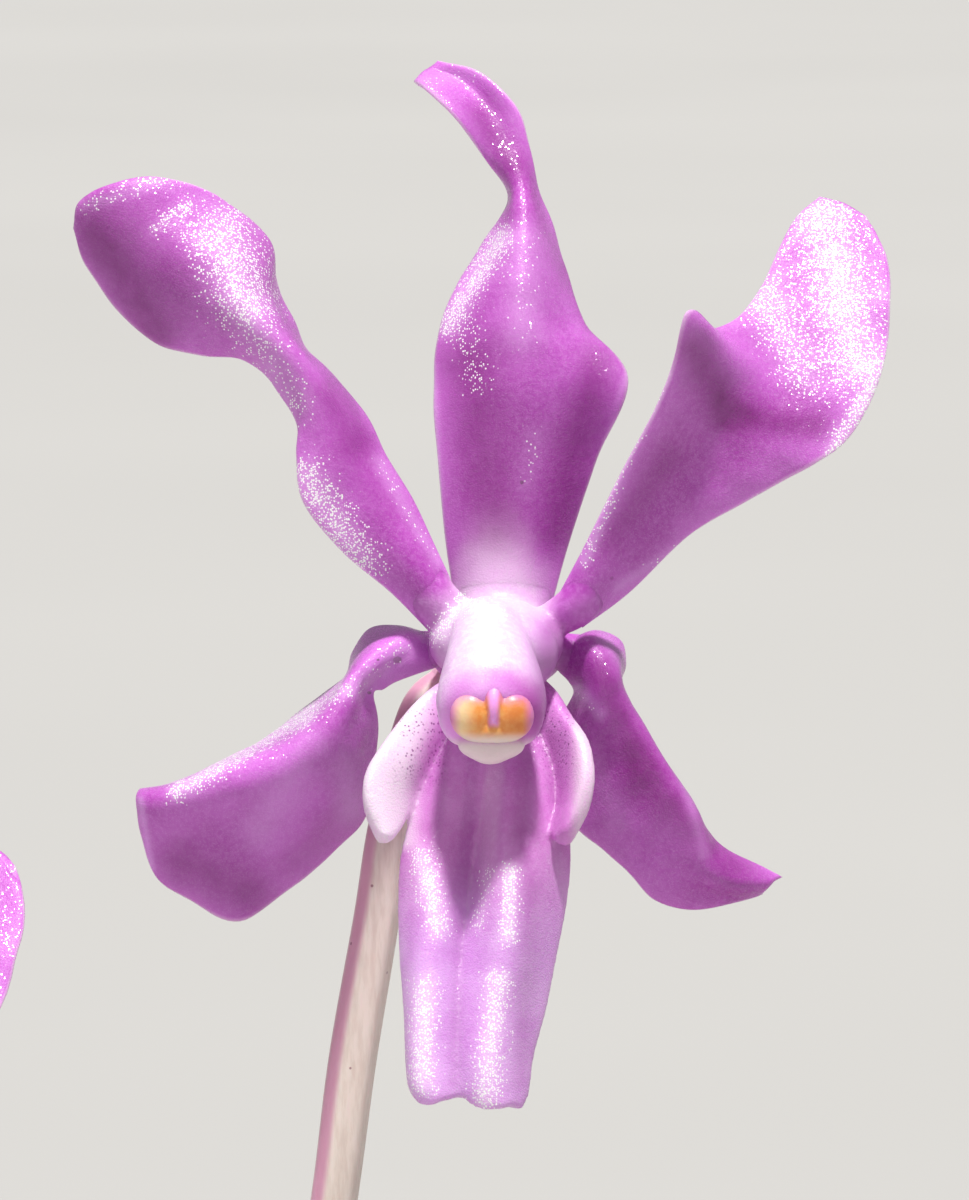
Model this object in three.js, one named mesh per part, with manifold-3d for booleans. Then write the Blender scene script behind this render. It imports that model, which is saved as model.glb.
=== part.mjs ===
// A small vanda orchid in a clay pot, in flower. Millimetres, +Z up.
// The origin is the centre of the pot's flat base, and the open bloom faces -Y.
import * as THREE from "three";
import { mergeVertices } from "three/addons/utils/BufferGeometryUtils.js";
import Module from "manifold-3d";

const wasm = await Module();
wasm.setup();

// Driving dimensions
const SEED = 7;
const GAP = 0.35;
const POT = { height: 64, base: 26, rim: 38.5, band: 14, wall: 3.5, floor: 4, round: 1.2, sides: 32 };
const DRAIN = { count: 3, radius: 3.5, away: 14 };
const BARK = { top: 56, chunk: 9.5, count: 34, reach: 28, slack: 0.5 };
const STEM = { foot: 50, crown: 106, plain: 62, thin: 3.4, wide: 5.2, deep: 3 };
const LEAF = { count: 8, first: 64, step: 5.2, width: 5.6, thick: 1.1, inset: 0.2, longest: 92 };
const TOP_LEAF = { length: 52, rise: 74, fall: 58 };
const LOW_LEAF = { rise: 58, fall: 104 };
const TEPAL_THICK = 0.6;
const LIP_THICK = 0.9;
const LOBE_THICK = 0.7;
const BLOOM_AT = [5, -32, 180];
const BLOOM_PITCH = -8;

const COLOR = {
  clay: 0xb5673f,
  bark: 0x5d3d28,
  stem: 0x6f8a3c,
  leaf: 0x4c7a2f,
  root: 0xb9bda6,
  stalk: 0x7c8f48,
  tepal: 0xb052b4,
  lip: 0xcf9bda,
  column: 0xf1dff3,
  anther: 0xe9a45c,
  pedicel: 0xdccbc2,
  bud: 0x9a7a86,
};

// Lengthwise curves of the floral leaves, base to tip. x to the right, y away from the viewer, z up.
const DORSAL_SEPAL = [
  [[-1.8, 3.4, 1.4], [-2.2, 3.4, 4], [-2.5, 3.6, 7.2], [-2.7, 4.1, 10.22], [-2.41, 4.8, 12.83],
    [-1.2, 5.8, 15.24], [0, 6.5, 17.07], [0.31, 6.6, 18.29], [-0.7, 6, 19.72], [-1.81, 5.8, 21.34],
    [-2.91, 6.4, 22.44], [-3.52, 7.4, 22.92]],
  [[0.2, 2.7, 1.8], [0.3, 2.7, 4], [0.5, 2.6, 7.2], [0.8, 2.4, 10.2], [0.8, 2.7, 12.81], [0.9, 3.6, 15.34],
    [0.91, 4.6, 17.17], [0.81, 5.4, 18.39], [0.31, 6.2, 19.91], [-0.6, 7, 21.62], [-1.81, 7.8, 22.82],
    [-3.11, 8.2, 23.32]],
  [[2.1, 3.6, 1.4], [2.8, 3.6, 3.9], [3.9, 3.3, 7.2], [5.19, 3.2, 10.59], [3.5, 4.6, 12.79],
    [2.7, 5.8, 15.31], [2.01, 6.2, 17.14], [1.51, 6.4, 18.48], [1.21, 6.4, 20.13], [0.71, 6.6, 21.76],
    [-0.8, 7.4, 23.25], [-2.51, 8.2, 23.73]],
];
const LEFT_PETAL = [
  [[-1.9, 1.4, 2.2], [-2.7, 1.8, 3.9], [-3.6, 2.3, 5.81], [-4.71, 2.6, 7.61], [-5.61, 2.9, 9.32],
    [-6.61, 3.2, 10.52], [-7.82, 3.4, 11.63], [-8.54, 3.6, 13.06], [-9.07, 3.8, 14.61],
    [-9.39, 3.7, 16.25], [-11.5, 3.1, 17.95], [-14.07, 2.4, 18.69], [-16.25, 2.5, 18.15]],
  [[-2.1, 1.1, 1.7], [-3.1, 1.2, 3.4], [-4.2, 1.4, 5.2], [-5.41, 1.5, 7.11], [-6.3, 1.4, 8.9],
    [-7.2, 1.1, 10.2], [-8.1, 1, 11.4], [-9.01, 1.2, 12.51], [-9.62, 1.8, 13.73], [-10.43, 2.3, 15.64],
    [-12.53, 2.3, 17.04], [-14.82, 2.2, 17.93], [-16.63, 2.5, 17.83]],
  [[-2.3, 0.9, 1.1], [-3.5, 0.8, 2.9], [-4.9, 0.7, 4.7], [-6.2, 0.6, 6.6], [-7, 0.6, 8.4],
    [-7.6, 0.7, 9.69], [-8.49, 0.8, 10.89], [-9.58, 0.9, 12.07], [-10.76, 1, 13.25], [-12.15, 1.3, 14.54],
    [-13.86, 1.8, 15.76], [-15.6, 2.3, 16.79], [-16.93, 2.7, 17.43]],
  [[-2.8, 1.4, 0.3], [-4.39, 1, 1.9], [-6.29, 0.5, 3.5], [-7.88, 0.4, 5.49], [-8.18, 0.7, 7.38],
    [-8.18, 1.1, 8.68], [-9.08, 1.5, 10.28], [-10.4, 1.9, 11.3], [-12.04, 2.4, 11.44],
    [-13.87, 2.8, 11.96], [-15.39, 3, 13.27], [-16.68, 3.1, 15.07], [-17.14, 2.9, 16.73]],
];
const RIGHT_PETAL = [
  [[2.5, 1.4, 2], [3.6, 0.6, 4.2], [4.69, -0.1, 6.39], [5.78, -0.8, 8.48], [6.77, -1.4, 10.67],
    [7.57, -1.8, 12.76], [8.42, 2, 12.52], [9.54, 3, 12.94], [10.59, 4.2, 14.3], [11.34, 5.2, 15.87],
    [12.08, 6.2, 17.22], [13.11, 7, 18.15]],
  [[2.9, 0.9, 1.3], [4.2, 0.8, 3.2], [5.9, 0.8, 5.2], [7.6, 0.9, 7.2], [8.9, 1, 8.8], [9.91, 1.4, 10.21],
    [10.73, 2.4, 11.23], [11.75, 3.1, 12.14], [12.88, 4.1, 13.57], [13.63, 5.3, 15.22],
    [14.06, 6.3, 16.77], [14.18, 7, 17.8]],
  [[3.3, 1.4, 0.5], [5.2, 1.5, 1.9], [7.6, 1.5, 4.2], [9.8, 1.5, 5.5], [11.4, 1.4, 6.4], [12.7, 1.2, 7.1],
    [13.82, 1.4, 7.91], [14.75, 1.9, 9.23], [15.49, 2.8, 11.05], [15.83, 4, 13.49], [15.76, 5.2, 15.53],
    [14.97, 6.3, 17.27]],
];
const LEFT_SEPAL = [
  [[-3, 3.2, 0.2], [-4.2, 3.5, 0.5], [-5.3, 3.8, 0.4], [-5.91, 3.6, -0.5], [-6.11, 3.2, -1.51],
    [-6.62, 3.2, -1.91], [-7.52, 3.2, -2.51], [-8.83, 3.1, -3.52], [-10.24, 2.9, -4.42],
    [-11.74, 2.7, -5.23], [-13.14, 2.4, -5.82], [-14.13, 2.1, -6.02], [-14.52, 2, -6.11]],
  [[-2.8, 2.4, -0.2], [-3.8, 1.8, 0.1], [-4.6, 1.2, -0.3], [-5.29, 0.6, -0.9], [-5.89, 0.2, -1.59],
    [-6.39, -0.2, -2.49], [-7.19, -0.6, -3.49], [-8.38, -0.8, -4.49], [-9.98, -0.8, -5.19],
    [-11.58, -0.5, -5.69], [-13.08, 0, -6.19], [-14.09, 0.6, -6.39], [-14.5, 1.2, -6.4]],
  [[-2.7, 2.2, -0.6], [-3.5, 1.6, -0.6], [-4.3, 1.3, -1], [-5, 1.1, -1.5], [-5.5, 0.9, -2],
    [-5.8, 0.4, -3.3], [-6.3, 0.2, -5], [-7.4, 0.2, -6.39], [-8.99, 0.1, -7.39], [-10.89, 0.2, -7.99],
    [-12.69, 0.5, -7.99], [-13.9, 0.9, -7.8], [-14.4, 1.4, -7.2]],
  [[-2.5, 2.4, -1.1], [-3.4, 1.8, -1.4], [-4.2, 1.5, -1.7], [-4.7, 1.3, -2], [-5.1, 1.2, -2.2],
    [-5, 1.8, -3.8], [-5.3, 2.4, -6.8], [-6.2, 2.4, -8.2], [-8.2, 2, -9.8], [-10.4, 1.6, -11.3],
    [-12.5, 1.6, -10.4], [-13.7, 1.6, -9.6], [-14.2, 1.7, -8.2]],
];
const RIGHT_SEPAL = [
  [[3.1, 3.2, 0], [4, 3.4, 0.3], [4.9, 3.6, -0.1], [5, 3.2, -1], [4.8, 2.6, -1.9], [5.4, 2.4, -2.9],
    [6.1, 2.2, -4.1], [6.9, 2.1, -5.4], [7.7, 2.1, -6.5], [8.3, 2.2, -7.6], [9.1, 2.4, -8.4],
    [10, 2.6, -8.9], [10.8, 2.8, -9.3], [11.4, 3, -9.6]],
  [[3, 2.4, -0.3], [3.5, 1.9, -0.1], [4.1, 1.5, -0.6], [4.5, 1.3, -1.2], [4.7, 1.2, -2.1],
    [5.2, 1.2, -3.2], [5.9, 1.1, -4.4], [6.7, 1, -5.8], [7.5, 1, -7], [7.9, 1.1, -8], [8.3, 1.3, -9],
    [9.1, 1.6, -9.6], [10.1, 2.1, -9.8], [11, 2.7, -9.8]],
  [[2.7, 2.2, -0.8], [3.2, 1.8, -1], [3.7, 1.3, -1.6], [3.9, 1.1, -2.4], [4.1, 1.2, -3.4],
    [4.3, 1.4, -4.3], [4.6, 1.5, -5.4], [5.1, 1.5, -6.7], [5.9, 1.5, -7.9], [6.5, 1.6, -8.9],
    [7.3, 1.7, -9.7], [8.5, 2, -10.1], [9.7, 2.4, -10.2], [10.8, 2.8, -10]],
  [[2.4, 2.4, -1.3], [2.8, 2.3, -1.7], [3, 2.4, -2.1], [2.8, 2.7, -2.6], [2.5, 2.8, -3.1],
    [2.4, 2.8, -3.9], [2.5, 2.8, -5.6], [2.9, 2.6, -7.3], [4.3, 2.4, -8.6], [5.3, 2.2, -9.5],
    [6.2, 2.2, -10.5], [7.6, 2.3, -10.9], [9.3, 2.6, -10.6], [10.6, 2.9, -10.3]],
];
const LIP_BLADE = [
  [[-1.6, 1, -2.3], [-2.6, -0.6, -4.6], [-3.4, -1.2, -6.6], [-3.9, -1.6, -8.6], [-4, -2.2, -10.6],
    [-3.9, -2.9, -12.6], [-3.7, -3.7, -14.6], [-3.6, -4.4, -16.4], [-3.5, -4.8, -17.4], [-3.1, -5, -18]],
  [[-0.8, 0.9, -2.3], [-1.4, -1, -4.6], [-1.9, -2, -6.6], [-2.2, -2.7, -8.6], [-2.4, -3.4, -10.6],
    [-2.5, -4.1, -12.6], [-2.6, -4.8, -14.6], [-2.6, -5.4, -16.4], [-2.5, -5.7, -17.6],
    [-2.3, -5.7, -18.2]],
  [[-0.1, 0.9, -2.3], [-0.3, -1, -4.6], [-0.4, -1.8, -6.6], [-0.5, -2.3, -8.6], [-0.7, -3, -10.6],
    [-0.9, -3.7, -12.6], [-1.1, -4.3, -14.6], [-1.3, -4.9, -16.4], [-1.4, -5.1, -17.4],
    [-1.4, -5.2, -17.9]],
  [[0.6, 0.9, -2.3], [0.9, -1, -4.6], [1.1, -2, -6.6], [1.1, -2.7, -8.6], [0.9, -3.4, -10.6],
    [0.6, -4.1, -12.6], [0.2, -4.8, -14.6], [-0.1, -5.4, -16.4], [-0.1, -5.7, -17.7], [0, -5.7, -18.3]],
  [[1.4, 1, -2.3], [2, -0.6, -4.6], [2.6, -1.1, -6.6], [2.8, -1.4, -8.6], [2.6, -1.9, -10.6],
    [2.2, -2.6, -12.6], [1.8, -3.3, -14.6], [1.3, -4, -16.4], [1.1, -4.5, -17.8], [0.8, -4.8, -18.5]],
];
const LEFT_LOBE = [
  [[-1.9, 1, -1.5], [-2.6, 0.3, -1.8], [-3.5, -0.8, -2.6], [-4.6, -1.8, -4], [-5.3, -2.4, -5.2],
    [-5.4, -2.7, -6.4], [-5, -2.8, -7.6], [-4.7, -2.8, -7.95]],
  [[-1.6, 0.9, -2.1], [-2.1, 0.2, -2.7], [-2.8, -0.6, -3.5], [-3.6, -1.4, -4.7], [-4.3, -1.9, -5.8],
    [-4.6, -2.3, -6.7], [-4.6, -2.6, -7.6], [-4.5, -2.7, -8.05]],
  [[-1.2, 0.8, -2.6], [-1.5, 0.4, -3.4], [-1.9, 0.1, -4.3], [-2.5, -0.3, -5.2], [-3.2, -0.9, -6.1],
    [-3.6, -1.4, -6.8], [-4, -2, -7.5], [-4.3, -2.5, -7.95]],
];
const RIGHT_LOBE = [
  [[1.7, 1, -1.5], [2.2, 0.3, -2], [2.7, -0.9, -2.9], [3.35, -2.1, -3.9], [3.55, -2.9, -5.1],
    [3.4, -3.2, -6.2], [2.9, -3.2, -7.5], [2.5, -3.1, -8]],
  [[1.5, 0.9, -2.1], [1.9, 0.2, -2.8], [2.4, -0.7, -3.6], [2.9, -1.5, -4.7], [3.1, -2.2, -5.8],
    [3, -2.6, -6.7], [2.6, -2.9, -7.6], [2.4, -3, -8.1]],
  [[1.1, 0.8, -2.6], [1.4, 0.4, -3.4], [1.7, 0.1, -4.3], [2.1, -0.4, -5.1], [2.45, -1.1, -6],
    [2.4, -1.7, -6.8], [2.2, -2.4, -7.6], [2.3, -2.8, -8.05]],
];

// Round bodies of a bloom: centre, half width and half depth of each station.
const SPUR = [[0, 0.6, -2.9, 1.1, 1], [0, 1.6, -3.3, 1.3, 1.2], [0, 3, -4.4, 1.1, 1],
  [0, 3.9, -6.4, 0.9, 0.9], [0, 4.1, -8.2, 0.6, 0.6], [0, 4.1, -8.9, 0.3, 0.3]];
const COLUMN = [[0, 2, 0.1, 1.3, 1.2], [0, 0.9, 0, 1.75, 1.6], [-0.05, -0.4, -0.1, 2.3, 1.75],
  [-0.1, -1.7, -0.95, 2.55, 2.2], [-0.3, -3, -2, 2.5, 2.35], [-0.4, -4, -2.7, 2.2, 2.1],
  [-0.4, -4.6, -3, 1.7, 1.6]];
const ANTHER = { at: [-0.35, -5.45, -3.25], radii: [1.6, 0.55, 0.95] };
const HUB = [[0.05, 2.6, 0, 1.7, 1.1], [0.05, 3, 0, 2.1, 1.3], [-0.1, 3.9, -0.3, 1.8, 1.2]];
const PEDICEL = [[-0.9, 4.7, -0.9, 1.2, 1.05], [-2.1, 5, -1.9, 0.9, 0.9], [-3.3, 4.7, -3.1, 0.82, 0.82],
  [-4.45, 4.3, -7.4, 0.82, 0.82], [-5, 4.2, -11.3, 0.9, 0.9], [-5.95, 4.1, -16.9, 0.94, 0.94],
  [-6.6, 4.1, -21.9, 0.92, 0.92], [-7.4, 4.4, -27.5, 0.9, 0.9], [-7.9, 5.2, -34, 0.85, 0.85],
  [-7.6, 7, -39.2, 0.8, 0.8]];

// The other open blooms: place, turn in degrees, size, and the way of the pedicel down to the stalk.
const SIDE_BLOOMS = [
  {
    at: [-32.4, -27.5, 154], turn: [-10, 4, -8], size: 1,
    way: [[-27.8, -20.6, 147.4], [-19, -19.4, 140.5], [-9, -22.4, 136], [0.2, -26.6, 134]],
  },
  {
    at: [31, -31, 131], turn: [-6, -5, 30], size: 0.97,
    way: [[25.5, -22.8, 124.8], [19, -20.4, 122], [12, -21.4, 123.5], [5.8, -24.3, 126.8]],
  },
  {
    at: [-25, -21, 117], turn: [-4, 3, -42], size: 1.02,
    way: [[-18.5, -14.6, 112.6], [-12, -13.8, 111.6], [-5, -15.6, 114], [1.9, -19.3, 118.2]],
  },
];
const STALK = [[0, -5.1, 76, 1.7, 1.6], [0.5, -6.6, 84, 1.6, 1.5], [2.2, -11, 98, 1.5, 1.5],
  [3.8, -17.5, 112, 1.45, 1.45], [3.6, -24, 126, 1.35, 1.35], [1, -27.8, 137, 1.2, 1.2],
  [-2.6, -29.3, 144.2, 1, 1], [-4, -29.5, 146.4, 0.8, 0.8]];
const BUDS = [
  [[-4.4, -29.6, 147, 0.6, 0.6], [-6.4, -29.6, 149, 0.7, 0.7], [-8, -29.8, 149.6, 1.6, 1.5],
    [-10, -30.4, 149.2, 2.3, 2.1], [-12, -31.2, 147.8, 1.9, 1.7], [-13.2, -31.8, 146.6, 0.6, 0.6]],
  [[-1.2, -29, 145, 0.6, 0.6], [1, -30, 147.6, 0.7, 0.7], [2.6, -31, 148.4, 1.5, 1.4],
    [4.6, -32.2, 148.2, 2, 1.8], [6.4, -33.4, 147.2, 1.6, 1.5], [7.4, -34.2, 146.2, 0.5, 0.5]],
];

// Aerial roots. The first two end in the bark, and the others cross the rim and hang outside the pot.
const ROOTS = [
  [[-0.8, -4.3, 66, 1.7, 1.7], [-4.6, -9.6, 67, 1.7, 1.7], [-9, -14.6, 63, 1.7, 1.7],
    [-10.8, -16.6, 57, 1.6, 1.6], [-11, -17, 51, 1.3, 1.3]],
  [[0.8, 4.3, 67, 1.8, 1.8], [5, 10, 68.4, 1.8, 1.8], [9.4, 15.4, 64, 1.7, 1.7],
    [11, 17.4, 57.5, 1.6, 1.6], [11.2, 17.8, 51, 1.3, 1.3]],
  [[1.4, -4.1, 70, 1.8, 1.8], [7.4, -12, 72.6, 1.8, 1.8], [15, -23, 72, 1.8, 1.8],
    [21.4, -32.6, 69.6, 1.8, 1.8], [24.6, -37.6, 62, 1.8, 1.8], [24.4, -37.8, 50, 1.8, 1.8],
    [23.6, -36.4, 40, 1.7, 1.7], [23.4, -36, 35, 0.9, 0.9]],
  [[-1.4, 4.2, 72, 1.8, 1.8], [-9.6, 12, 75, 1.8, 1.8], [-20, 22.6, 73.6, 1.8, 1.8],
    [-27.6, 30.4, 69.4, 1.8, 1.8], [-31.4, 33, 61, 1.8, 1.8], [-31, 32.4, 48, 1.8, 1.8],
    [-29.6, 31.2, 36, 1.7, 1.7], [-29.2, 30.8, 30.6, 0.9, 0.9]],
  [[-1.6, -4.3, 72.3, 1.6, 1.6], [-3.8, -9.6, 76.2, 1.6, 1.6], [-10.4, -17, 78.2, 1.6, 1.6],
    [-20, -25.4, 78, 1.6, 1.6], [-29.6, -34.4, 71, 1.6, 1.6], [-33.6, -37.6, 60, 1.6, 1.6],
    [-33.4, -37.2, 52, 1.5, 1.5], [-33, -36.6, 48, 0.8, 0.8]],
];

// A repeatable draw of numbers from 0 to 1
function seeded(seed) {
  let state = seed;
  return () => {
    state = (state * 1664525 + 1013904223) % 4294967296;
    return state / 4294967296;
  };
}

// A point on the smooth curve through all the values, at t from 0 to 1
function curvePoint(values, t) {
  const last = values.length - 1;
  const span = Math.min(Math.floor(t * last), last - 1);
  const f = t * last - span;
  return values[0].map((_, axis) => {
    const b = values[span][axis];
    const c = values[span + 1][axis];
    const a = span > 0 ? values[span - 1][axis] : 2 * b - c;
    const d = span + 2 <= last ? values[span + 2][axis] : 2 * c - b;
    const square = 2 * a - 5 * b + 4 * c - d;
    const cube = 3 * b - a - 3 * c + d;
    return 0.5 * (2 * b + (c - a) * f + square * f * f + cube * f ** 3);
  });
}

function geometryFrom(points, faces) {
  const geometry = new THREE.BufferGeometry();
  geometry.setAttribute("position", new THREE.Float32BufferAttribute(points.flat(), 3));
  geometry.setIndex(faces.flat());
  return geometry;
}

// A closed body from rings of points, each ring going the same way round, closed by a fan at both ends
function stackedRings(rings) {
  const sides = rings[0].length;
  const points = rings.flat();
  const faces = [];
  for (let ring = 0; ring + 1 < rings.length; ring += 1) {
    for (let side = 0; side < sides; side += 1) {
      const next = (side + 1) % sides;
      const a = ring * sides + side;
      const b = ring * sides + next;
      faces.push([a, b, b + sides], [a, b + sides, a + sides]);
    }
  }
  for (const [ring, flip] of [[0, true], [rings.length - 1, false]]) {
    const centre = points.length;
    points.push([0, 1, 2].map((axis) => rings[ring].reduce((sum, p) => sum + p[axis], 0) / sides));
    for (let side = 0; side < sides; side += 1) {
      const a = ring * sides + side;
      const b = ring * sides + ((side + 1) % sides);
      faces.push(flip ? [b, a, centre] : [a, b, centre]);
    }
  }
  return geometryFrom(points, faces);
}

// A round or oval body along a curve of stations, each a centre with its half width and half depth.
// It can be grown on every side, which gives the hole that the body stands in.
function limb(stations, sides, steps, grow = 0) {
  const samples = Array.from({ length: steps + 1 }, (_, step) => curvePoint(stations, step / steps));
  const centres = samples.map((s) => new THREE.Vector3(s[0], s[1], s[2]));
  let across = new THREE.Vector3(1, 0, 0);
  const rings = centres.map((centre, step) => {
    const before = centres[Math.max(step - 1, 0)];
    const after = centres[Math.min(step + 1, steps)];
    const along = after.clone().sub(before).normalize();
    across = across.clone().addScaledVector(along, -across.dot(along)).normalize();
    const deep = along.clone().cross(across);
    const [a, b] = samples[step].slice(3).map((half) => half + grow);
    const outward = step === 0 ? -grow : step === steps ? grow : 0;
    const middle = centre.clone().addScaledVector(along, outward);
    return Array.from({ length: sides }, (_, side) => {
      const angle = (side / sides) * 2 * Math.PI;
      const point = middle.clone().addScaledVector(across, a * Math.cos(angle));
      return point.addScaledVector(deep, b * Math.sin(angle)).toArray();
    });
  });
  return stackedRings(rings);
}

// The middle surface of a blade, through its lengthwise curves
function bladeSurface(curves, lengthSteps, widthSteps) {
  return Array.from({ length: lengthSteps + 1 }, (_, i) => {
    const row = curves.map((curve) => curvePoint(curve, i / lengthSteps));
    return Array.from({ length: widthSteps + 1 }, (_, j) => curvePoint(row, j / widthSteps));
  });
}

// A closed blade of even thickness about a grid of points, split alike on both faces
function thickSheet(grid, thickness) {
  const rows = grid.length;
  const columns = grid[0].length;
  const within = (n, count) => Math.min(Math.max(n, 0), count - 1);
  const at = (i, j) => new THREE.Vector3(...grid[within(i, rows)][within(j, columns)]);
  const points = [];
  for (const side of [0.5, -0.5]) {
    for (let i = 0; i < rows; i += 1) {
      for (let j = 0; j < columns; j += 1) {
        const along = at(i + 1, j).sub(at(i - 1, j));
        const across = at(i, j + 1).sub(at(i, j - 1));
        points.push(at(i, j).addScaledVector(along.cross(across).normalize(), side * thickness).toArray());
      }
    }
  }
  const back = rows * columns;
  const faces = [];
  for (let i = 0; i + 1 < rows; i += 1) {
    for (let j = 0; j + 1 < columns; j += 1) {
      const a = i * columns + j;
      const [b, c, d] = [a + columns, a + columns + 1, a + 1];
      faces.push([a, b, c], [a, c, d], [back + a, back + c, back + b], [back + a, back + d, back + c]);
    }
  }
  const columnList = [...Array(columns).keys()];
  const innerRows = [...Array(rows).keys()].slice(1, -1);
  const edge = [
    ...columnList,
    ...innerRows.map((i) => i * columns + columns - 1),
    ...columnList.map((j) => (rows - 1) * columns + j).reverse(),
    ...innerRows.map((i) => i * columns).reverse(),
  ];
  edge.forEach((a, n) => {
    const b = edge[(n + 1) % edge.length];
    faces.push([a, b, back + b], [a, back + b, back + a]);
  });
  return geometryFrom(points, faces);
}

function blade(curves, lengthSteps, widthSteps, thickness) {
  return thickSheet(bladeSurface(curves, lengthSteps, widthSteps), thickness);
}

function toSolid(geometry) {
  return new wasm.Manifold(new wasm.Mesh({
    numProp: 3,
    vertProperties: Float32Array.from(geometry.getAttribute("position").array),
    triVerts: Uint32Array.from(geometry.index.array),
  }));
}

function fromSolid(solid) {
  const mesh = solid.getMesh();
  const geometry = new THREE.BufferGeometry();
  geometry.setAttribute("position", new THREE.BufferAttribute(mesh.vertProperties, 3));
  geometry.setIndex(new THREE.BufferAttribute(mesh.triVerts, 1));
  return geometry;
}

// One body from several, kept within a space if one is given, less the cutters. Of what comes out
// only the largest shell is kept, which fills any sealed hollow and drops loose scraps.
function joined(geometries, cutters = [], space = null) {
  let solid = geometries.map(toSolid).reduce((whole, piece) => whole.add(piece));
  if (space) {
    solid = solid.intersect(toSolid(space));
  }
  for (const cutter of cutters) {
    solid = solid.subtract(toSolid(cutter));
  }
  return fromSolid(solid.decompose().reduce((a, b) => (a.volume() > b.volume() ? a : b)));
}

// three.js shapes carry normals and uvs that keep equal corners apart
function welded(geometry) {
  geometry.deleteAttribute("normal");
  geometry.deleteAttribute("uv");
  return mergeVertices(geometry, 1e-4);
}

const plant = new THREE.Group();

function addPiece(name, geometry, color, roughness, parent = plant) {
  const material = new THREE.MeshStandardMaterial({ color, roughness, metalness: 0 });
  const mesh = new THREE.Mesh(geometry, material);
  mesh.name = name;
  parent.add(mesh);
  return mesh;
}

// A turned body from its profile of radii and heights
function lathed(profile) {
  const body = new THREE.LatheGeometry(profile.map(([r, z]) => new THREE.Vector2(r, z)), POT.sides);
  body.rotateX(Math.PI / 2);
  return welded(body);
}

// Pot
function potInnerRadius(z) {
  const up = (z - POT.floor) / (POT.height - POT.floor);
  return POT.base - POT.wall + (POT.rim - POT.base - POT.round) * up;
}

function makePot() {
  const shoulder = POT.height - POT.band;
  const neck = POT.rim - 3;
  const top = POT.height;
  const r = POT.round;
  const profile = [[0, 0], [POT.base - r, 0], [POT.base, r], [neck, shoulder - r], [POT.rim - r, shoulder],
    [POT.rim, shoulder + r], [POT.rim, top - r], [POT.rim - r, top], [potInnerRadius(top) + r, top],
    [potInnerRadius(top), top - r], [potInnerRadius(POT.floor), POT.floor + r],
    [potInnerRadius(POT.floor) - r, POT.floor], [0, POT.floor]];
  const holes = Array.from({ length: DRAIN.count }, (_, n) => {
    const hole = new THREE.CylinderGeometry(DRAIN.radius, DRAIN.radius, 4 * POT.floor, 16);
    const angle = (n / DRAIN.count) * 2 * Math.PI + Math.PI / 2;
    hole.rotateX(Math.PI / 2);
    hole.translate(DRAIN.away * Math.cos(angle), DRAIN.away * Math.sin(angle), 0);
    return welded(hole);
  });
  addPiece("pot", joined([lathed(profile)], holes), COLOR.clay, 0.85);
}

// Bark bed, with plain holes for the stem and the roots
function barkChunk(random, x, y) {
  const size = BARK.chunk * (0.75 + 0.5 * random());
  const box = new THREE.BoxGeometry(size, size * 0.7, size * 0.5);
  const corners = box.getAttribute("position");
  for (let n = 0; n < corners.count; n += 1) {
    const lean = 1 + 0.22 * Math.sign(corners.getX(n)) * Math.sign(corners.getY(n));
    corners.setXYZ(n, corners.getX(n) * lean, corners.getY(n), corners.getZ(n) * (2 - lean));
  }
  box.rotateX((random() - 0.5) * 0.9);
  box.rotateY((random() - 0.5) * 0.9);
  box.rotateZ(random() * Math.PI * 2);
  box.translate(x, y, BARK.top + (random() - 0.35) * 2.4);
  return welded(box);
}

// The filling of the pot up to a height, in faces that stand on the pot's own
function potFilling(height, rise) {
  const bottom = POT.floor + GAP;
  const profile = [[0, bottom], [potInnerRadius(POT.floor) - 1.6, bottom],
    [potInnerRadius(POT.floor) - BARK.slack, POT.floor + 1.6],
    [potInnerRadius(height) - BARK.slack, height], [0, height + rise]];
  return lathed(profile);
}

function makeBark(holes) {
  const random = seeded(SEED);
  const goldenAngle = Math.PI * (3 - Math.sqrt(5));
  const chunks = Array.from({ length: BARK.count }, (_, n) => {
    const away = BARK.reach * Math.sqrt((n + 0.5) / BARK.count);
    return barkChunk(random, away * Math.cos(n * goldenAngle), away * Math.sin(n * goldenAngle));
  });
  const body = joined([potFilling(BARK.top, 1.5), ...chunks], holes, potFilling(POT.height + 6, 0));
  addPiece("bark_bed", body, COLOR.bark, 0.95);
}

// Stem: an oval rod wrapped in leaf bases that flare on alternate sides
function leafPlace(n) {
  return { side: n % 2 ? -1 : 1, z: LEAF.first + LEAF.step * n };
}

function stemHalfWidth(side, z) {
  const places = Array.from({ length: LEAF.count }, (_, n) => leafPlace(n));
  const above = places.find((place) => place.side === side && place.z >= z - 1e-6);
  if (z <= STEM.plain || !above) {
    return STEM.thin;
  }
  const rise = Math.min(1, Math.max(0, 1 - (above.z - z) / (2 * LEAF.step - 0.5)));
  return STEM.thin + (STEM.wide - STEM.thin) * rise;
}

function stemRing(z, sides, shrink = 1) {
  return Array.from({ length: sides }, (_, side) => {
    const angle = (side / sides) * 2 * Math.PI;
    const half = stemHalfWidth(Math.cos(angle) >= 0 ? 1 : -1, z);
    return [half * shrink * Math.cos(angle), STEM.deep * shrink * Math.sin(angle), z];
  });
}

function makeStem() {
  const sides = 12;
  const heights = [STEM.foot, STEM.plain];
  for (let n = 0; n < LEAF.count; n += 1) {
    heights.push(leafPlace(n).z, leafPlace(n).z + 0.4);
  }
  const rings = heights.map((z) => stemRing(z, sides));
  rings.push(stemRing(STEM.crown - 1.5, sides, 0.8), stemRing(STEM.crown, sides, 0.35));
  addPiece("stem", stackedRings(rings), COLOR.stem, 0.6);
}

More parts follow.
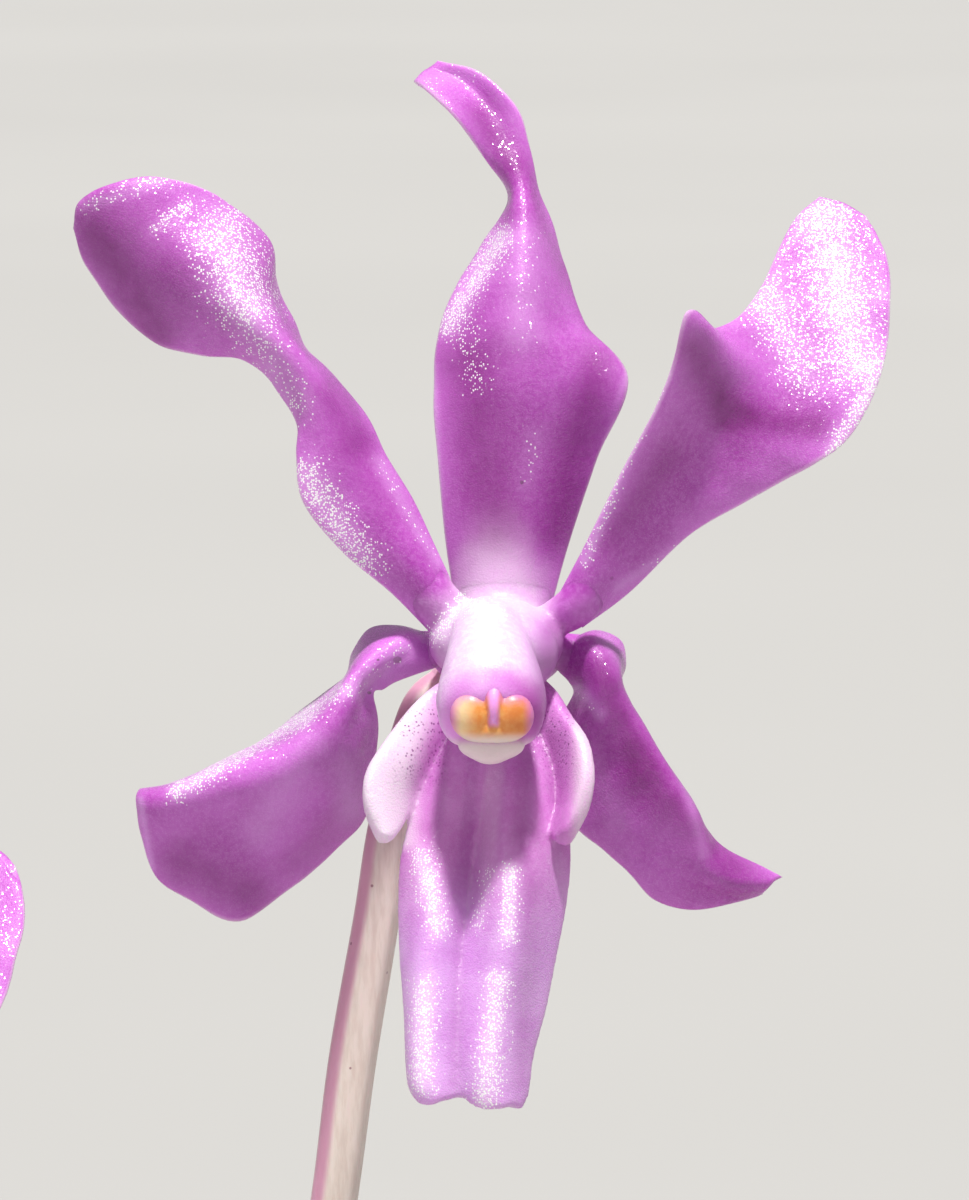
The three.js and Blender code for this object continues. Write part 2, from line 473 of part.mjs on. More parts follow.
// Strap leaves: folded to a V at the base, arching, with an unevenly notched tip
function leafGrid(n, rows, columns) {
  const { side, z } = leafPlace(n);
  const age = n / (LEAF.count - 1);
  const length = LEAF.longest + (TOP_LEAF.length - LEAF.longest) * age ** 1.5;
  const rise = THREE.MathUtils.degToRad(LOW_LEAF.rise + (TOP_LEAF.rise - LOW_LEAF.rise) * age);
  const fall = THREE.MathUtils.degToRad(LOW_LEAF.fall + (TOP_LEAF.fall - LOW_LEAF.fall) * age);
  const sway = (n % 3 - 1) * 4;
  let along = 0;
  let up = 0;
  const grid = [];
  for (let i = 0; i <= rows; i += 1) {
    const t = i / rows;
    const angle = rise - fall * t ** 1.3;
    if (i > 0) {
      along += (length / rows) * Math.cos(angle);
      up += (length / rows) * Math.sin(angle);
    }
    const swell = 0.66 + 0.34 * Math.sin((Math.min(1, t * 2.6) * Math.PI) / 2);
    const half = LEAF.width * swell * (1 - 0.3 * t ** 4);
    const fold = THREE.MathUtils.degToRad(36 - 20 * t);
    const row = [];
    for (let j = 0; j <= columns; j += 1) {
      const v = (2 * j) / columns - 1;
      const lift = half * Math.sin(fold) * Math.abs(v) ** 1.25;
      const lobe = t < 1 ? 0 : (v < 0 ? 2.4 : 1.2) * Math.abs(v) - 1.4 * (1 - Math.abs(v));
      const x = STEM.wide - LEAF.inset + along - lift * Math.sin(angle) + lobe * Math.cos(angle);
      const y = half * Math.cos(fold) * v + sway * t * t;
      row.push([side * x, side * y, z + 1.2 + up + lift * Math.cos(angle) + lobe * Math.sin(angle)]);
    }
    grid.push(row);
  }
  return grid;
}

function makeLeaves() {
  for (let n = 0; n < LEAF.count; n += 1) {
    addPiece(`leaf_${n + 1}`, thickSheet(leafGrid(n, 11, 4), LEAF.thick), COLOR.leaf, 0.45);
  }
}

// Blooms
const TEPALS = { dorsal_sepal: DORSAL_SEPAL, left_petal: LEFT_PETAL, right_petal: RIGHT_PETAL,
  left_sepal: LEFT_SEPAL, right_sepal: RIGHT_SEPAL };

function lipSolid(lengthSteps, widthSteps, sides) {
  return joined([
    blade(LIP_BLADE, lengthSteps, widthSteps, LIP_THICK),
    blade(LEFT_LOBE, lengthSteps - 2, 2, LOBE_THICK),
    blade(RIGHT_LOBE, lengthSteps - 2, 2, LOBE_THICK),
    limb(SPUR, sides, 5),
  ]);
}

function makeMainBloom() {
  const bloom = new THREE.Group();
  bloom.position.set(...BLOOM_AT);
  bloom.rotation.x = THREE.MathUtils.degToRad(BLOOM_PITCH);
  plant.add(bloom);
  for (const [name, curves] of Object.entries(TEPALS)) {
    addPiece(name, blade(curves, 17, 6, TEPAL_THICK), COLOR.tepal, 0.5, bloom);
  }
  addPiece("lip", lipSolid(10, 8, 8), COLOR.lip, 0.5, bloom);
  addPiece("column", limb(COLUMN, 16, 10), COLOR.column, 0.4, bloom);
  const anther = new THREE.SphereGeometry(1, 12, 8);
  anther.scale(...ANTHER.radii);
  anther.translate(...ANTHER.at);
  addPiece("anther_cap", welded(anther), COLOR.anther, 0.5, bloom);
  addPiece("pedicel", limb([...HUB, ...PEDICEL], 8, 20), COLOR.pedicel, 0.5, bloom);
}

// A floral leaf carried on to the middle of its bloom, so that all five grow together there
function rooted(curves) {
  return curves.map((curve) => [[curve[0][0] * 0.4, 2.6, curve[0][2] * 0.4], ...curve]);
}

function makeSideBloom(number, { at, turn, size, way }) {
  const bloom = new THREE.Group();
  bloom.position.set(...at);
  bloom.rotation.set(...turn.map(THREE.MathUtils.degToRad), "ZXY");
  bloom.scale.setScalar(size);
  plant.add(bloom);
  const heart = new THREE.SphereGeometry(1, 10, 6);
  heart.scale(1.9, 0.9, 1.5);
  heart.translate(0, 2.8, 0.1);
  const tepals = Object.values(TEPALS).map((curves) => blade(rooted(curves), 9, 3, TEPAL_THICK));
  addPiece(`bloom_${number}_tepals`, joined([welded(heart), ...tepals]), COLOR.tepal, 0.5, bloom);
  addPiece(`bloom_${number}_lip`, lipSolid(6, 4, 6), COLOR.lip, 0.5, bloom);
  const columnStations = COLUMN.map(([x, y, z, a, b]) => [x, y - 0.6, z, a, b]);
  addPiece(`bloom_${number}_column`, limb(columnStations, 10, 6), COLOR.column, 0.4, bloom);
  bloom.updateMatrixWorld();
  const start = [[0, 4.85, 0, 1.2, 1.1], [-0.5, 5.7, -0.8, 1, 1]].map(([x, y, z, a, b]) => {
    const point = bloom.localToWorld(new THREE.Vector3(x, y, z));
    return [...point.toArray(), a, b];
  });
  const rest = way.map((point) => [...point, 0.9, 0.9]);
  addPiece(`bloom_${number}_pedicel`, limb([...start, ...rest], 8, 12), COLOR.pedicel, 0.5);
}

function makeRoots() {
  ROOTS.forEach((stations, n) => {
    addPiece(`root_${n + 1}`, limb(stations, 8, stations.length + 4), COLOR.root, 0.8);
  });
}

function makeStalk() {
  addPiece("flower_stalk", limb(STALK, 10, 14), COLOR.stalk, 0.6);
  BUDS.forEach((stations, n) => {
    addPiece(`bud_${n + 1}`, limb(stations, 8, 10), COLOR.bud, 0.5);
  });
}

const stemCore = [[0, 0, STEM.foot, STEM.thin, STEM.deep], [0, 0, STEM.crown, STEM.thin, STEM.deep]];
const stemHole = limb(stemCore, 12, 1, GAP);
const rootHoles = ROOTS.map((stations) => limb(stations, 8, stations.length + 4, GAP));

makePot();
makeBark([stemHole, ...rootHoles]);
makeStem();
makeLeaves();
makeRoots();
makeStalk();
makeMainBloom();
SIDE_BLOOMS.forEach((bloom, n) => makeSideBloom(n + 2, bloom));

export default plant;
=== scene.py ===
import math
import random

import bpy
import numpy as np
from mathutils import Matrix, Vector


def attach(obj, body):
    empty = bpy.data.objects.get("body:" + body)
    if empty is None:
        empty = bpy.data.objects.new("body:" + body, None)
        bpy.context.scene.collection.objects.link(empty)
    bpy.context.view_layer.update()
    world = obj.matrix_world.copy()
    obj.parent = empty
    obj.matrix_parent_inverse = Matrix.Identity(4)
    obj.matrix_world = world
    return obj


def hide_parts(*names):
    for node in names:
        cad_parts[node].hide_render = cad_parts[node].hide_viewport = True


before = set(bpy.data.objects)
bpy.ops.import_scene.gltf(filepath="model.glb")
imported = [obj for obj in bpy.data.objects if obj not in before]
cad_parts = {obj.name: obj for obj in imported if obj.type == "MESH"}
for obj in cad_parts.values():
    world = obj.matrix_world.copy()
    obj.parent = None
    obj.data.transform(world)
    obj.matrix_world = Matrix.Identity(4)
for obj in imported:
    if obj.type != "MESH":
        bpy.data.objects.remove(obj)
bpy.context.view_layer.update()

# A small vanda orchid in a clay pot, in flower. Sizes below are millimetres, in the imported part's frame.
MM = 0.001
SEED = 7
POT = dict(height=64, base=26, rim=38.5, band=14, wall=3.5, floor=4, round=1.2)
DRAIN = dict(count=3, radius=3.5, away=14)
BARK = dict(top=56, chunk=9.5, slack=0.5)
# Two layers of bark pieces: coarse ones, and small ones that fill between them.
BARK_LAYERS = [dict(count=34, reach=28, turn=0, least=0.75, spread=0.5, sink=0.35, tilt=0.9),
               dict(count=70, reach=29.5, turn=1.3, least=0.35, spread=0.45, sink=0.5, tilt=1.6)]
MOSS = dict(tufts=16, shoots=46, nearest=9, reach=20, tuft=2.6)
STEM = dict(foot=50, crown=106, plain=62, thin=3.4, wide=5.2, deep=3)
LEAF = dict(count=8, first=64, step=5.2, width=5.6, inset=0.2, longest=92)
TOP_LEAF = dict(length=52, rise=74, fall=58)
LOW_LEAF = dict(rise=58, fall=104)
BLOOM_AT = (5, -32, 180)
BLOOM_PITCH = -8

# Lengthwise curves of the floral leaves, base to tip. x to the right, y away from the viewer, z up.
DORSAL_SEPAL = [
    [[-1.8, 3.4, 1.4], [-2.2, 3.4, 4], [-2.5, 3.6, 7.2], [-2.7, 4.1, 10.22], [-2.41, 4.8, 12.83],
     [-1.2, 5.8, 15.24], [0, 6.5, 17.07], [0.31, 6.6, 18.29], [-0.7, 6, 19.72], [-1.81, 5.8, 21.34],
     [-2.91, 6.4, 22.44], [-3.52, 7.4, 22.92]],
    [[0.2, 2.7, 1.8], [0.3, 2.7, 4], [0.5, 2.6, 7.2], [0.8, 2.4, 10.2], [0.8, 2.7, 12.81],
     [0.9, 3.6, 15.34], [0.91, 4.6, 17.17], [0.81, 5.4, 18.39], [0.31, 6.2, 19.91], [-0.6, 7, 21.62],
     [-1.81, 7.8, 22.82], [-3.11, 8.2, 23.32]],
    [[2.1, 3.6, 1.4], [2.8, 3.6, 3.9], [3.9, 3.3, 7.2], [5.19, 3.2, 10.59], [3.5, 4.6, 12.79],
     [2.7, 5.8, 15.31], [2.01, 6.2, 17.14], [1.51, 6.4, 18.48], [1.21, 6.4, 20.13], [0.71, 6.6, 21.76],
     [-0.8, 7.4, 23.25], [-2.51, 8.2, 23.73]],
]
LEFT_PETAL = [
    [[-1.9, 1.4, 2.2], [-2.7, 1.8, 3.9], [-3.6, 2.3, 5.81], [-4.71, 2.6, 7.61], [-5.61, 2.9, 9.32],
     [-6.61, 3.2, 10.52], [-7.82, 3.4, 11.63], [-8.54, 3.6, 13.06], [-9.07, 3.8, 14.61],
     [-9.39, 3.7, 16.25], [-11.5, 3.1, 17.95], [-14.07, 2.4, 18.69], [-16.25, 2.5, 18.15]],
    [[-2.1, 1.1, 1.7], [-3.1, 1.2, 3.4], [-4.2, 1.4, 5.2], [-5.41, 1.5, 7.11], [-6.3, 1.4, 8.9],
     [-7.2, 1.1, 10.2], [-8.1, 1, 11.4], [-9.01, 1.2, 12.51], [-9.62, 1.8, 13.73], [-10.43, 2.3, 15.64],
     [-12.53, 2.3, 17.04], [-14.82, 2.2, 17.93], [-16.8, 2.5, 17.83]],
    [[-2.3, 0.9, 1.1], [-3.5, 0.8, 2.9], [-4.9, 0.7, 4.7], [-6.2, 0.6, 6.6], [-7, 0.6, 8.4],
     [-7.6, 0.7, 9.69], [-8.49, 0.8, 10.89], [-9.58, 0.9, 12.07], [-10.76, 1, 13.25], [-12.15, 1.3, 14.54],
     [-13.86, 1.8, 15.76], [-15.6, 2.3, 16.79], [-17.12, 2.7, 17.43]],
    [[-2.8, 1.4, 0.3], [-4.39, 1, 1.9], [-6.29, 0.5, 3.5], [-7.88, 0.4, 5.49], [-8.18, 0.7, 7.38],
     [-8.18, 1.1, 8.68], [-9.08, 1.5, 10.28], [-10.4, 1.9, 11.3], [-12.04, 2.4, 11.44],
     [-13.87, 2.8, 11.96], [-15.39, 3, 13.27], [-16.68, 3.1, 15.07], [-17.24, 2.9, 16.6]],
]
RIGHT_PETAL = [
    [[2.5, 1.4, 2], [3.6, 0.6, 4.2], [4.69, -0.1, 6.39], [5.78, -0.8, 8.48], [6.77, -1.4, 10.67],
     [7.5, -2, 13.1], [8.1, 1.4, 12.4], [9.54, 3, 12.94], [10.59, 4.2, 14.3], [11.34, 5.2, 15.87],
     [12.08, 6.2, 17.22], [13.11, 7, 18.15]],
    [[2.9, 0.9, 1.3], [4.2, 0.8, 3.2], [5.9, 0.8, 5.2], [7.6, 0.9, 7.2], [8.9, 1, 8.8], [9.91, 1.4, 10.21],
     [10.73, 2.4, 11.23], [11.75, 3.1, 12.14], [12.88, 4.1, 13.57], [13.63, 5.3, 15.22],
     [14.06, 6.3, 16.77], [14.18, 7, 17.8]],
    [[3.3, 1.4, 0.5], [5.2, 1.5, 1.9], [7.6, 1.5, 4.2], [9.8, 1.5, 5.5], [11.4, 1.4, 6.4],
     [12.7, 1.2, 7.1], [13.82, 1.4, 7.91], [14.75, 1.9, 9.23], [15.49, 2.8, 11.05], [15.83, 4, 13.49],
     [15.76, 5.2, 15.53], [14.97, 6.3, 17.27]],
]
LEFT_SEPAL = [
    [[-3, 3.2, 0.2], [-4.2, 3.5, 0.5], [-5.3, 3.8, 0.4], [-5.91, 3.6, -0.5], [-6.11, 3.2, -1.51],
     [-6.62, 3.2, -1.91], [-7.52, 3.2, -2.51], [-8.83, 3.1, -3.52], [-10.24, 2.9, -4.42],
     [-11.74, 2.7, -5.23], [-13.14, 2.4, -5.82], [-14.13, 2.1, -6.02], [-14.52, 2, -6.11]],
    [[-2.8, 2.4, -0.2], [-3.8, 1.8, 0.1], [-4.6, 1.2, -0.3], [-5.29, 0.6, -0.9], [-5.89, 0.2, -1.59],
     [-6.39, -0.2, -2.49], [-7.19, -0.6, -3.49], [-8.38, -0.8, -4.49], [-9.98, -0.8, -5.19],
     [-11.58, -0.5, -5.69], [-13.08, 0, -6.19], [-14.09, 0.6, -6.39], [-14.5, 1.2, -6.4]],
    [[-2.7, 2.2, -0.6], [-3.5, 1.6, -0.6], [-4.3, 1.3, -1], [-5, 1.1, -1.5], [-5.5, 0.9, -2],
     [-5.8, 0.4, -3.3], [-6.3, 0.2, -5], [-7.4, 0.2, -6.39], [-8.99, 0.1, -7.39], [-10.89, 0.2, -7.99],
     [-12.69, 0.5, -7.99], [-13.9, 0.9, -7.8], [-14.4, 1.4, -7.2]],
    [[-2.5, 2.4, -1.1], [-3.4, 1.8, -1.4], [-4.2, 1.5, -1.7], [-4.7, 1.3, -2], [-5.1, 1.2, -2.2],
     [-5, 1.8, -3.8], [-5.3, 2.4, -6.8], [-6.2, 2.4, -8.2], [-8.2, 2, -9.8], [-10.4, 1.6, -11.3],
     [-12.5, 1.6, -10.4], [-13.7, 1.6, -9.6], [-14.2, 1.7, -8.2]],
]
RIGHT_SEPAL = [
    [[3.1, 3.2, 0], [4, 3.4, 0.3], [4.9, 3.6, -0.1], [5, 3.2, -1], [4.8, 2.6, -1.9], [5.4, 2.4, -2.9],
     [6.1, 2.2, -4.1], [6.9, 2.1, -5.4], [7.7, 2.1, -6.5], [8.3, 2.2, -7.6], [9.1, 2.4, -8.4],
     [10, 2.6, -8.9], [10.8, 2.8, -9.3], [11.4, 3, -9.6]],
    [[3, 2.4, -0.3], [3.5, 1.9, -0.1], [4.1, 1.5, -0.6], [4.5, 1.3, -1.2], [4.7, 1.2, -2.1],
     [5.2, 1.2, -3.2], [5.9, 1.1, -4.4], [6.7, 1, -5.8], [7.5, 1, -7], [7.9, 1.1, -8], [8.3, 1.3, -9],
     [9.1, 1.6, -9.6], [10.1, 2.1, -9.8], [11, 2.7, -9.8]],
    [[2.7, 2.2, -0.8], [3.2, 1.8, -1], [3.7, 1.3, -1.6], [3.9, 1.1, -2.4], [4.1, 1.2, -3.4],
     [4.3, 1.4, -4.3], [4.6, 1.5, -5.4], [5.1, 1.5, -6.7], [5.9, 1.5, -7.9], [6.5, 1.6, -8.9],
     [7.3, 1.7, -9.7], [8.5, 2, -10.1], [9.7, 2.4, -10.2], [10.8, 2.8, -10]],
    [[2.4, 2.4, -1.3], [2.8, 2.3, -1.7], [3, 2.4, -2.1], [2.8, 2.7, -2.6], [2.5, 2.8, -3.1],
     [2.4, 2.8, -3.9], [2.5, 2.8, -5.6], [2.9, 2.6, -7.3], [4.3, 2.4, -8.6], [5.3, 2.2, -9.5],
     [6.2, 2.2, -10.5], [7.6, 2.3, -10.9], [9.3, 2.6, -10.6], [10.6, 2.9, -10.3]],
]
LIP_BLADE = [
    [[-1.6, 1, -2.3], [-2.6, -0.6, -4.6], [-3.4, -1.2, -6.6], [-3.9, -1.6, -8.6], [-4, -2.2, -10.6],
     [-3.9, -2.9, -12.6], [-3.7, -3.7, -14.6], [-3.6, -4.4, -16.4], [-3.5, -4.8, -17.4], [-3.1, -5, -18]],
    [[-0.8, 0.9, -2.3], [-1.4, -1, -4.6], [-2, -1.9, -6.6], [-2.6, -2.8, -8.6], [-2.7, -3.6, -10.6],
     [-2.85, -4.3, -12.6], [-2.95, -4.9, -14.6], [-3, -5.4, -16.4], [-2.9, -5.7, -17.6],
     [-2.6, -5.7, -18.2]],
    [[-0.1, 0.9, -2.3], [-0.3, -1, -4.6], [-0.6, -1.5, -6.6], [-0.9, -1.8, -8.6], [-1.2, -2.6, -10.6],
     [-1.5, -3.4, -12.6], [-1.6, -4.2, -14.6], [-1.65, -4.8, -16.4], [-1.6, -5.1, -17.4],
     [-1.5, -5.2, -17.9]],
    [[0.6, 0.9, -2.3], [0.9, -1, -4.6], [0.8, -2.4, -6.6], [0.5, -3.6, -8.6], [0.4, -4.2, -10.6],
     [0.2, -4.6, -12.6], [-0.2, -5, -14.6], [-0.45, -5.5, -16.4], [-0.4, -5.7, -17.7], [-0.2, -5.7, -18.3]],
    [[1.4, 1, -2.3], [2, -0.6, -4.6], [2.6, -1.1, -6.6], [2.8, -1.4, -8.6], [2.6, -1.9, -10.6],
     [2.2, -2.6, -12.6], [1.8, -3.3, -14.6], [1.3, -4, -16.4], [1.1, -4.5, -17.8], [0.8, -4.8, -18.5]],
]
LEFT_LOBE = [
    [[-1.9, 1, -1.5], [-2.6, 0.3, -1.8], [-3.5, -0.8, -2.6], [-4.6, -1.8, -4], [-5.3, -2.4, -5.2],
     [-5.4, -2.7, -6.4], [-5, -2.8, -7.6], [-4.7, -2.8, -7.95]],
    [[-1.6, 0.9, -2.1], [-2.1, 0.2, -2.7], [-2.8, -0.6, -3.5], [-3.6, -1.4, -4.7], [-4.3, -1.9, -5.8],
     [-4.6, -2.3, -6.7], [-4.6, -2.6, -7.6], [-4.5, -2.7, -8.05]],
    [[-1.2, 0.8, -2.6], [-1.5, 0.4, -3.4], [-1.9, 0.1, -4.3], [-2.5, -0.3, -5.2], [-3.2, -0.9, -6.1],
     [-3.6, -1.4, -6.8], [-4, -2, -7.5], [-4.3, -2.5, -7.95]],
]
RIGHT_LOBE = [
    [[1.7, 1, -1.5], [2.2, 0.3, -2], [2.7, -0.9, -2.9], [3.35, -2.1, -3.9], [3.55, -2.9, -5.1],
     [3.4, -3.2, -6.2], [2.9, -3.2, -7.5], [2.5, -3.1, -8]],
    [[1.5, 0.9, -2.1], [1.9, 0.2, -2.8], [2.4, -0.7, -3.6], [2.9, -1.5, -4.7], [3.1, -2.2, -5.8],
     [3, -2.6, -6.7], [2.6, -2.9, -7.6], [2.4, -3, -8.1]],
    [[1.1, 0.8, -2.6], [1.4, 0.4, -3.4], [1.7, 0.1, -4.3], [2.1, -0.4, -5.1], [2.45, -1.1, -6],
     [2.4, -1.7, -6.8], [2.2, -2.4, -7.6], [2.3, -2.8, -8.05]],
]

# Round bodies of a bloom: centre, half width and half depth of each station.
SPUR = [[0, 0.6, -2.9, 1.1, 1], [0, 1.6, -3.3, 1.3, 1.2], [0, 3, -4.4, 1.1, 1],
        [0, 3.9, -6.4, 0.9, 0.9], [0, 4.1, -8.2, 0.6, 0.6], [0, 4.1, -8.9, 0.3, 0.3]]
HUB = [[0.05, 2.6, 0, 1.7, 1.1], [0.05, 3, 0, 2.1, 1.3], [-0.1, 3.9, -0.3, 1.8, 1.2]]
PEDICEL = [[-0.9, 4.7, -0.9, 1.2, 1.05], [-2.1, 5, -1.9, 0.9, 0.9], [-3.3, 4.7, -3.1, 0.82, 0.82],
           [-4.45, 4.3, -7.4, 0.82, 0.82], [-5, 4.2, -11.3, 0.9, 0.9], [-5.95, 4.1, -16.9, 0.94, 0.94],
           [-6.6, 4.1, -21.9, 0.92, 0.92], [-7.4, 4.4, -27.5, 0.9, 0.9], [-7.9, 5.2, -34, 0.85, 0.85],
           [-7.6, 7, -39.2, 0.8, 0.8]]
SIDE_PEDICEL_START = [[0, 4.85, 0, 1.2, 1.1], [-0.5, 5.7, -0.8, 1, 1]]

# The other open blooms: place, turn in degrees, size, and the way of the pedicel down to the stalk.
SIDE_BLOOMS = [
    dict(at=(-32.4, -27.5, 154), turn=(-10, 4, -8), size=1,
         way=[[-27.8, -20.6, 147.4], [-19, -19.4, 140.5], [-9, -22.4, 136], [0.2, -26.6, 134]]),
    dict(at=(31, -31, 131), turn=(-6, -5, 30), size=0.97,
         way=[[25.5, -22.8, 124.8], [19, -20.4, 122], [12, -21.4, 123.5], [5.8, -24.3, 126.8]]),
    dict(at=(-25, -21, 117), turn=(-4, 3, -42), size=1.02,
         way=[[-18.5, -14.6, 112.6], [-12, -13.8, 111.6], [-5, -15.6, 114], [1.9, -19.3, 118.2]]),
]
# Painted light and shade on the bloom's skin, as strokes seen from the front: from (x, z) to (x, z), their
# width, and how much they lay painted shade (partly the skin's own deeper tone), painted light (partly its
# own paler tone) and painted glints on it.
TEPAL_PAINTED_SHADING = [
    # dorsal sepal
    ((-1.4, 11.4), (-0.2, 4.6), 1.25, (0.8, 0, 0)), ((3.9, 11.2), (2.3, 4.2), 0.9, (0.8, 0, 0)),
    ((-0.7, 21.5), (0.6, 19.4), 0.6, (0.8, 0, 0)), ((2.9, 15.3), (3.7, 12.8), 0.5, (0.5, 0, 0)),
    ((0, 16.3), (-2.1, 12.8), 0.5, (0, 0.8, 1.0)), ((-1.3, 12.4), (-0.9, 10.3), 0.6, (0, 0, 0.35)),
    ((1, 16.1), (1, 12.4), 0.9, (0, 0.6, 0.1)), ((-2.7, 11.1), (-2.3, 3.4), 0.14, (0, 0.9, 0)),
    ((5.1, 10.6), (2.9, 3.2), 0.14, (0, 0.7, 0)), ((-3.4, 22.8), (-1.1, 23.2), 0.4, (0, 0.4, 0.1)),
    ((1.4, 8.2), (1, 6.1), 0.5, (0, 0.3, 0.1)),
    # left petal
    ((-16.3, 16.2), (-13.8, 12.4), 1.0, (0.9, 0, 0)), ((-14.6, 16.6), (-12.6, 14.2), 1.3, (0.4, 0, 0)),
    ((-6.9, 9.9), (-5.7, 8.1), 0.7, (0.6, 0, 0)), ((-6.3, 7.7), (-4.6, 5.2), 0.6, (0.35, 0, 0)),
    ((-11.2, 16.4), (-10.3, 13.9), 1.2, (0, 0.7, 1.0)), ((-9.9, 12.8), (-8.2, 9.5), 0.8, (0, 0.5, 0.3)),
    ((-7.7, 6.5), (-5.6, 3.1), 0.75, (0, 0.5, 1.0)), ((-4.9, 7.2), (-2.5, 3.1), 0.3, (0, 0.55, 0.15)),
    ((-16.8, 17.5), (-13.6, 18.4), 0.3, (0, 0.4, 0.3)), ((-13.9, 16.5), (-12.6, 17.5), 0.25, (0, 0.3, 0.9)),
    # right petal
    ((7.7, 11.5), (9.3, 9), 0.8, (0.9, 0, 0)), ((9.3, 9), (12.7, 8.6), 0.6, (0.8, 0, 0)),
    ((6.8, 7.3), (4.3, 4), 0.6, (0.5, 0, 0)), ((13.1, 17.1), (14.5, 11), 1.2, (0, 0.7, 1.0)),
    ((10.6, 14), (12.2, 10.9), 0.9, (0, 0.6, 0.6)), ((15.4, 10.7), (13.3, 7.6), 0.35, (0, 0.7, 0.9)),
    ((6.6, 10.9), (3.4, 3.2), 0.28, (0, 0.75, 0.35)), ((10.6, 5.9), (4.7, 2.1), 0.22, (0, 0.5, 0.1)),
    # left sepal
    ((-6.4, -2), (-7.9, -3), 0.35, (0, 0.7, 0.6)), ((-7.9, -3), (-12.9, -6), 0.45, (0, 0.9, 0.9)),
    ((-12.8, -8.9), (-10, -10.2), 1.0, (0.7, 0, 0)), ((-8, -8.8), (-6, -7.2), 0.8, (0.4, 0, 0)),
    ((-14.4, -6.4), (-14, -9.2), 0.15, (0, 0.9, 0)), ((-6.4, -4.8), (-6, -7), 0.7, (0, 0.35, 0)),
    ((-5.9, -2), (-3.9, -0.4), 0.4, (0, 0.6, 0.2)), ((-5.2, -1.9), (-3.4, -0.9), 0.7, (0, 0.5, 0)),
    ((-7.4, -4.2), (-9.6, -7.6), 0.8, (0, 0.45, 0)), ((-5.9, -3.4), (-6, -6.6), 0.6, (0, 0.3, 0)),
    # right sepal
    ((4, -1.2), (5.6, -4.8), 0.8, (1.0, 0, 0)), ((6, -5.6), (9.6, -9.2), 0.9, (0.85, 0, 0)),
    ((3.2, -2), (4, -3), 0.25, (0, 0.9, 0.1)), ((4.2, 0.1), (4.9, -0.8), 0.35, (0, 0.45, 0)),
    ((7.2, -4.9), (8.2, -8.6), 0.25, (0, 0.45, 0)), ((3.6, -4.6), (4.8, -7.4), 0.5, (0, 0.4, 0)),
]
LIP_PAINTED_SHADING = [
    ((-3.1, -8.6), (-2.4, -11.3), 0.45, (0, 0.8, 1.0)), ((-3, -13.7), (-3.1, -17.3), 0.5, (0, 0.8, 1.0)),
    ((0.4, -9.1), (0.3, -11.6), 0.36, (0, 0.8, 1.0)), ((-0.5, -9.2), (-0.9, -11.3), 0.3, (0, 0.3, 0.4)),
    ((-0.1, -13.4), (-0.6, -17.9), 0.5, (0, 0.8, 1.0)), ((-1.6, -11.3), (-1.8, -17.3), 0.35, (0.3, 0, 0)),
    ((1.2, -9.8), (0.8, -17.3), 0.5, (0.3, 0, 0)), ((-1.2, -4.6), (-1.3, -9.6), 0.5, (0.15, 0, 0)),
    ((1, -4.6), (0.8, -7.6), 0.4, (0.35, 0, 0)), ((-2.4, -4.4), (-2.9, -7.4), 0.5, (0.4, 0, 0)),
    ((2.0, -4), (2.3, -7.4), 0.4, (0.45, 0, 0)),
]
COLUMN_PAINTED_SHADING = [
    ((-1.5, 1.6), (-0.1, 1.1), 0.3, (0, 0.1, 1.1)), ((-2.6, 0.2), (-1.9, 1.1), 0.35, (0, 0.4, 0.8)),
    ((-0.6, 0.7), (-0.8, -1.4), 0.5, (0, 0.6, 0)), ((2, 0.4), (2, -1.2), 0.6, (0.35, 0, 0)),
    ((1.6, -2), (1.5, -3.4), 0.4, (0.5, 0, 0)), ((-2.4, -0.4), (-2.2, -1.2), 0.3, (0.2, 0, 0)),
    ((-0.4, 3), (1.2, 2.4), 0.7, (0.1, 0, 0)),
]
# Dark specks on the left sepal's claw: place and size.
SPECK_FLATNESS = 1.3
SPECKS = [((-4.12, -0.8), 0.17), ((-4.88, -0.8), 0.06), ((-6.08, -1.84), 0.08), ((-5.24, -2.12), 0.08)]
# Stations of the stalk, buds and roots: centre, half width and half depth.
STALK = [[0, -5.1, 76, 1.7, 1.6], [0.5, -6.6, 84, 1.6, 1.5], [2.2, -11, 98, 1.5, 1.5],
         [3.8, -17.5, 112, 1.45, 1.45], [3.6, -24, 126, 1.35, 1.35], [1, -27.8, 137, 1.2, 1.2],
         [-2.6, -29.3, 144.2, 1, 1], [-4, -29.5, 146.4, 0.8, 0.8]]
# Scales on the stalk: how far up it, facing, length.
BRACTS = [(0.2, (1, 0, 0), 4.5), (0.38, (-1, -0.3, 0), 4), (0.5, (-1, 0.2, 0), 3.2),
          (0.58, (1, 0, 0), 3.2), (0.7, (-1, 0.3, 0), 3), (0.82, (-1, -0.6, 0), 2.8)]
BUDS = [
    [[-4.4, -29.6, 147, 0.6, 0.6], [-6.4, -29.6, 149, 0.7, 0.7], [-8, -29.8, 149.6, 1.6, 1.5],
     [-10, -30.4, 149.2, 2.3, 2.1], [-12, -31.2, 147.8, 1.9, 1.7], [-13.2, -31.8, 146.6, 0.6, 0.6]],
    [[-1.2, -29, 145, 0.6, 0.6], [1, -30, 147.6, 0.7, 0.7], [2.6, -31, 148.4, 1.5, 1.4],
     [4.6, -32.2, 148.2, 2, 1.8], [6.4, -33.4, 147.2, 1.6, 1.5], [7.4, -34.2, 146.2, 0.5, 0.5]],
]
